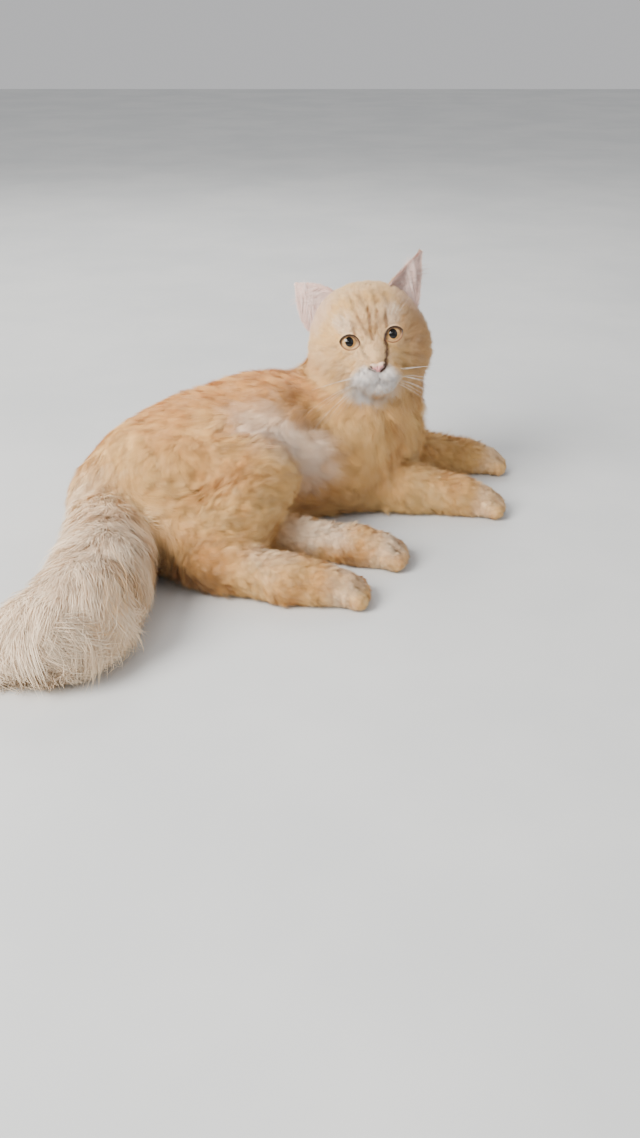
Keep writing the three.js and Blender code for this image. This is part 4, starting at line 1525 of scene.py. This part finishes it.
def region_rise(roots, local, weights, on_head, on_tail, skirt):
    """How much higher or lower than elsewhere on its part the coat stands in some regions."""
    torso, neck = (weights[:, COAT_NAMES.index(name)] for name in ("torso", "neck"))
    jaw = np.clip((-10 - local[:, 2]) / 25, 0, 1) * np.clip((np.abs(local[:, 0]) - 22) / 12, 0, 1)
    away = rising(roots[:, 0], 50, 85) * neck
    behind = rising(-roots[:, 0], -25, 25) * (weights[:, 0] + neck + torso) * (roots[:, 2] > 95)
    plume = rising(-roots[:, 0], 250, 275) * on_tail
    rump = rising(-roots[:, 0], 150, 190) * torso
    higher = (1 + (0.8 + 0.5 * (local[:, 0] > 0)) * jaw * on_head) * (1 + 1.2 * skirt) * (1 + 0.45 * away)
    return higher * (1 - 0.35 * behind) * (1 - 0.5 * plume) * (1 - 0.5 * rump)


def straying(weights):
    """How far the tufts' headings stray, from how much each part's coat counts."""
    loose = np.full(len(COAT_NAMES), STRAY_BODY)
    for i, name in enumerate(COAT_NAMES):
        for part, amount in STRAY_HEADING.items():
            if part in name:
                loose[i] = amount
    return weights @ loose


# The parts whose tufts go into each region's pieces
REGIONS = {
    "head": ["head"], "neck": ["neck"], "torso": ["torso"], "thighs": ["thigh_right", "thigh_left"],
    "shank": ["shank_right"], "tail": ["tail_base", "tail_middle", "tail_tip"],
    "legs": [name for name in COAT_NAMES if "foot" in name or "leg" in name or "paw" in name],
}


def make_coat():
    ground = Roots(skin)
    middles = ground.triangles.mean(1)
    table = np.array(list(COATS.values()), float)
    roots, unwrap = ground.draw(coat_density(middles, part_weights(middles) @ table))
    count = len(roots)
    weights = part_weights(roots)
    length, height, width, _, locking, spacing, parting, shade = (weights @ table).T
    local = to_head(roots)
    on_head = np.clip(weights[:, 0] * 1.6 - 0.3, 0, 1)
    on_tail = weights[:, [i for i, name in enumerate(COAT_NAMES) if "tail" in name]].sum(1)
    skirt = mound(far(roots, SKIRT), SKIRT_RADIUS)
    fine = fineness(local, on_head)

    stray = random.random(count) < 0.06 + 0.2 * on_tail
    vary = np.exp(random.normal(0, 0.22, count)) * np.where(stray, 1.35, 1)
    lengths = length * vary * fine * (1 + 0.9 * skirt)
    rises = height * np.sqrt(fine) * (0.3 + 1.0 * random.random(count))
    rises = rises * np.where(stray, 1.3 + 0.6 * on_tail, 1 - 0.12 * on_tail)
    rises = rises * region_rise(roots, local, weights, on_head, on_tail, skirt)
    widths = width * (0.7 + 0.6 * random.random(count))

    _, up = grid.read(roots)
    lie = coat_lie(roots, weights)
    lie = lie + 2 * skirt[:, None] * (np.array(SKIRT_LIE) - lie)
    lie = unit(lie - (lie * up).sum(1, keepdims=True) * up)
    lie = lie + straying(weights)[:, None] * random.normal(0, 1, roots.shape)
    curls = random.normal(0, 0.5, count)
    leaders = leaders_of(roots, spacing)
    curls = (0.5 * curls + 0.9 * curls[leaders]) * (1 - 0.5 * on_tail)
    swell = np.exp(random.normal(0, 0.22, count) * (1 + 0.6 * on_tail))[leaders]
    rises = rises * (1 + (swell - 1) * (1 - on_head))
    ripple, wave = folds(roots)
    rises = np.maximum(rises + 3.2 * ripple * np.sin(wave), 0.8)

    lines, ups = lie_lines(roots, unit(lie), lengths, rises, curls)
    lines = gather(lines, leaders, locking * (0.5 + 0.7 * random.random(count)))
    shown = marks((lines[:, 1] + lines[:, 2]) / 2)
    tilt = random.normal(0, 0.2, roots.shape) * (1 - 0.5 * on_head)[:, None]
    ups = ups + tilt[leaders][:, None]
    ups = unit(ups - (0.75 * ripple * np.cos(wave))[:, None, None] * np.array(RIPPLE_WAY))
    chance = random.random(count)
    chance = 0.45 * chance + 0.55 * chance[leaders]

    strongest = weights.argmax(1)
    pieces = []
    for region, names in REGIONS.items():
        kept = KEPT_STEPS.get(region, STRAIGHT)
        triangles = STRANDS * (2 * (len(kept) - 2) + 1)
        members = np.flatnonzero(np.isin(strongest, [COAT_NAMES.index(name) for name in names]))
        parts = math.ceil(len(members) * triangles / PIECE_LIMIT)
        for i, chosen in enumerate(np.array_split(members, parts)):
            pieces.append(tuft_mesh(
                f"coat_{region}_{i + 1}", lines[chosen][:, kept], ups[chosen][:, kept], widths[chosen],
                unwrap[chosen], parting[chosen], shown[chosen], chance[chosen],
                np.array(kept) / SEGMENTS, shade[chosen]))
    return pieces


coat = make_coat()

# The fur of the ears: short on their backs, fine inside, with long locks across the cup

# Which edge of each ear lies nearer to the crown
INNER_EDGE = {"ear_right": 1.0, "ear_left": -1.0}
EVERY_STEP = list(range(SEGMENTS + 1))
# Where the squares of the ears' coats start on the unwrap, and their side
UNWRAP_LEFT, UNWRAP_FOOT, UNWRAP_SIDE = 0.02, 0.05, 0.22


def standing_lines(roots, headings, ups, lengths, rises, droop):
    share = np.linspace(0, 1, SEGMENTS + 1)[None, :, None]
    lines = roots[:, None] + headings[:, None] * lengths[:, None, None] * share
    lines = lines + ups[:, None] * rises[:, None, None] * np.sin(share * math.pi / 2)
    lines = lines - np.array((0, 0, 1.0)) * droop * share ** 2 * lengths[:, None, None]
    return lines, np.repeat(ups[:, None], SEGMENTS + 1, axis=1)


def ear_roots(ear, across, layer, share):
    """Places on an ear's shell, with the way up it and the way across it there."""
    roots = ear_place(ear, across, layer, share)
    along = unit(ear_place(ear, across, layer, share + 0.03) - roots)
    beside = unit(ear_place(ear, across + 0.05, layer, share) - roots)
    return roots, along, beside


def ear_layer(ear, count, low, high, layer):
    """Roots over one face of an ear, with the ways up it, across it and out of it there."""
    across = 2 * random.random(count) - 1
    share = low + (high - low) * random.random(count) ** 0.9
    roots, along, beside = ear_roots(ear, across, layer, share)
    face = 1 if layer > 0 else -1
    out = unit(np.cross(along, beside)) * face
    inward = ear_place(ear, across, 2, share) - ear_place(ear, across, 0, share)
    if np.mean(inward * out) * face < 0:
        out = -out
    return across, share, roots, along, beside, out


def ear_tufts(name, roots, ways, out, lengths, rise, width, parting, unwrap, droop=0, kept=STRAIGHT):
    count = len(roots)
    lines, ups = standing_lines(roots, unit(ways), out, lengths, np.full(count, rise), droop)
    return tuft_mesh(name, lines[:, kept], ups[:, kept], np.full(count, width), unwrap,
                     np.full(count, parting))


def ear_coat(name, ear):
    def unwrap_of(across, share, shift):
        return np.column_stack([
            UNWRAP_LEFT + UNWRAP_SIDE * (across + 1) / 2 + shift, UNWRAP_FOOT + UNWRAP_SIDE * share])

    def strays(roots, amount=0.12):
        return amount * random.normal(0, 1, roots.shape)

    across, share, roots, along, beside, out = ear_layer(ear, 3200, 0.02, 1.0, -0.5)
    ways = along + strays(roots)
    lengths = 7 * (0.7 + 0.6 * random.random(len(roots))) * (1 - 0.6 * share)
    back = ear_tufts(name + "_back_coat", roots, ways, out, lengths, 1.6, 0.5, 0.5,
                     unwrap_of(across, share, 0))

    across, share, roots, along, beside, out = ear_layer(ear, 4200, 0.0, 0.97, 0.5)
    ways = along + 0.3 * np.sign(across)[:, None] * beside + strays(roots)
    lengths = 8 * (0.6 + 0.8 * random.random(len(roots))) * (1 - 0.65 * share)
    lining = ear_tufts(name + "_lining_fur", roots, ways, out, lengths, 1.5, 0.28, 0.4,
                       unwrap_of(across, share, 0.25))

    count = 760
    side = np.where(random.random(count) < 0.7, INNER_EDGE[name], -INNER_EDGE[name])
    across = side * (0.55 + 0.45 * random.random(count))
    share = 0.02 + 0.5 * random.random(count) ** 1.3
    roots, along, beside = ear_roots(ear, across, 0.6, share)
    out = unit(ear_place(ear, across, 3, share) - roots)
    ways = 0.75 * along - 0.55 * beside * side[:, None] + 0.35 * out + strays(roots)
    lengths = 27 * (0.6 + 0.7 * random.random(count))
    locks = ear_tufts(name + "_long_locks", roots, ways, out, lengths, 3.0, 0.34, 1.4,
                      unwrap_of(across, share, 0.5), 0.1, EVERY_STEP)

    count = 500
    side = np.where(random.random(count) < 0.5, 1.0, -1.0)
    share = random.random(count)
    roots, along, _ = ear_roots(ear, side, 0, share)
    away = unit(roots - ear_place(ear, side * 0.8, 0, share))
    out = unit(ear_place(ear, side, 3, share) - roots)
    ways = along + 0.45 * away + strays(roots, 0.15)
    lengths = 7 * (0.6 + 0.8 * random.random(count)) * (1 - 0.7 * share)
    edge = ear_tufts(name + "_edge_fur", roots, ways, out, lengths, 0.0, 0.45, 0.5,
                     unwrap_of(side, share, 0.75))

    for piece in (lining, locks, edge):
        dress(piece, ear_fur_finish)
    return [back, lining, locks, edge]


ear_fur = {name: ear_coat(name, ear) for name, ear in EARS.items()}

# Whiskers and brow hairs

WHISKER_STEPS = 12
WHISKER_RADIUS = 0.11


def whisker_line(root, way, length, droop):
    share = np.linspace(0, 1, WHISKER_STEPS)[:, None]
    straight = root + unit(np.array(way, float)) * length * share
    return straight + np.array((0, 0, -1.0)) * droop * length * share ** 2


def make_whiskers():
    lines = []
    for side in (1, -1):
        for row in range(3):
            for column in range(4):
                place = np.array((side * (7 + 3.2 * column), 34.0, -31 - 3.4 * row - 0.6 * column))
                root = place + unit(place - (0, 22, -30)) * 6
                way = (side * (1.0 + 0.15 * random.normal()), 0.42 - 0.12 * column, 0.05 - 0.24 * row)
                length = (34 + 6 * column) * (0.85 + 0.3 * random.random())
                lines.append(from_head(whisker_line(root, way, length, 0.12 + 0.08 * row)))
        for i in range(4):
            root = np.array((side * (17 + 2.5 * i), 37 - 1.2 * i, 14.0))
            way = (side * (0.25 + 0.15 * i), 0.5, 0.9)
            lines.append(from_head(whisker_line(root, way, 24 + 3 * i, 0.1)))
    taper = WHISKER_RADIUS * (1 - 0.8 * np.linspace(0, 1, WHISKER_STEPS))
    return tube("whiskers", lines, [taper] * len(lines), sides=4)


whiskers = make_whiskers()
dress(whiskers, make_whisker_finish())

# Floor and light

bpy.ops.mesh.primitive_plane_add(size=12, location=(0, 0, 0))
floor = bpy.context.object
floor.name = "floor"
floor_nodes = Nodes("floor_finish")
floor_place = floor_nodes.object_place()
floor_shade = noise(floor_nodes, floor_place, 0.3, 4, 0.6)
floor_colour = mixed(floor_nodes, floor_shade.step(0.3, 0.7), rgb(206, 208, 208), rgb(216, 217, 216))
floor.data.materials.append(finish_surface(floor_nodes, Base_Color=floor_colour, Roughness=0.8))


def soft_light(name, place, aim, size, power, colour):
    data = bpy.data.lights.new(name, "AREA")
    data.shape = "DISK"
    data.size = size
    data.energy = power
    data.color = colour
    lamp = placed(name, data)
    lamp.location = place
    lamp.rotation_euler = (Vector(aim) - Vector(place)).to_track_quat("-Z", "Y").to_euler()


soft_light("key_light", (-1.6, -1.2, 1.65), (0, 0, 0.08), 1.4, 130, (1.0, 0.98, 0.94))
soft_light("fill_light", (1.6, -0.9, 1.2), (0, 0, 0.1), 1.8, 6, (0.96, 0.97, 1.0))
soft_light("back_light", (-0.4, 1.6, 1.5), (0, 0, 0.1), 1.4, 20, (1.0, 0.98, 0.95))
soft_light("eye_light", (-0.42, -1.25, 1.15), (0.09, 0.1, 0.17), 0.1, 2.2, (1.0, 1.0, 1.0))

world = bpy.data.worlds.new("room")
bpy.context.scene.world = world
world.use_nodes = True
world.node_tree.nodes["Background"].inputs["Color"].default_value = (0.98, 0.98, 1.0, 1)
world.node_tree.nodes["Background"].inputs["Strength"].default_value = 0.6

# What rides on the body, and what each piece stands for

FLESH_NODES = ["head", *PARTS]
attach(skin, "root")
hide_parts(*FLESH_NODES)
for piece in coat:
    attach(piece, "root")
for name, shell in ears.items():
    for piece in (shell, *ear_fur[name]):
        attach(piece, "root")
    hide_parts(name)
for piece, node in ((eye_right, "eye_right"), (eye_left, "eye_left")):
    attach(piece, "root")
    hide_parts(node)
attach(nose, "root")
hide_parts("nose")
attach(lid_rims, "root")
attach(whiskers, "root")
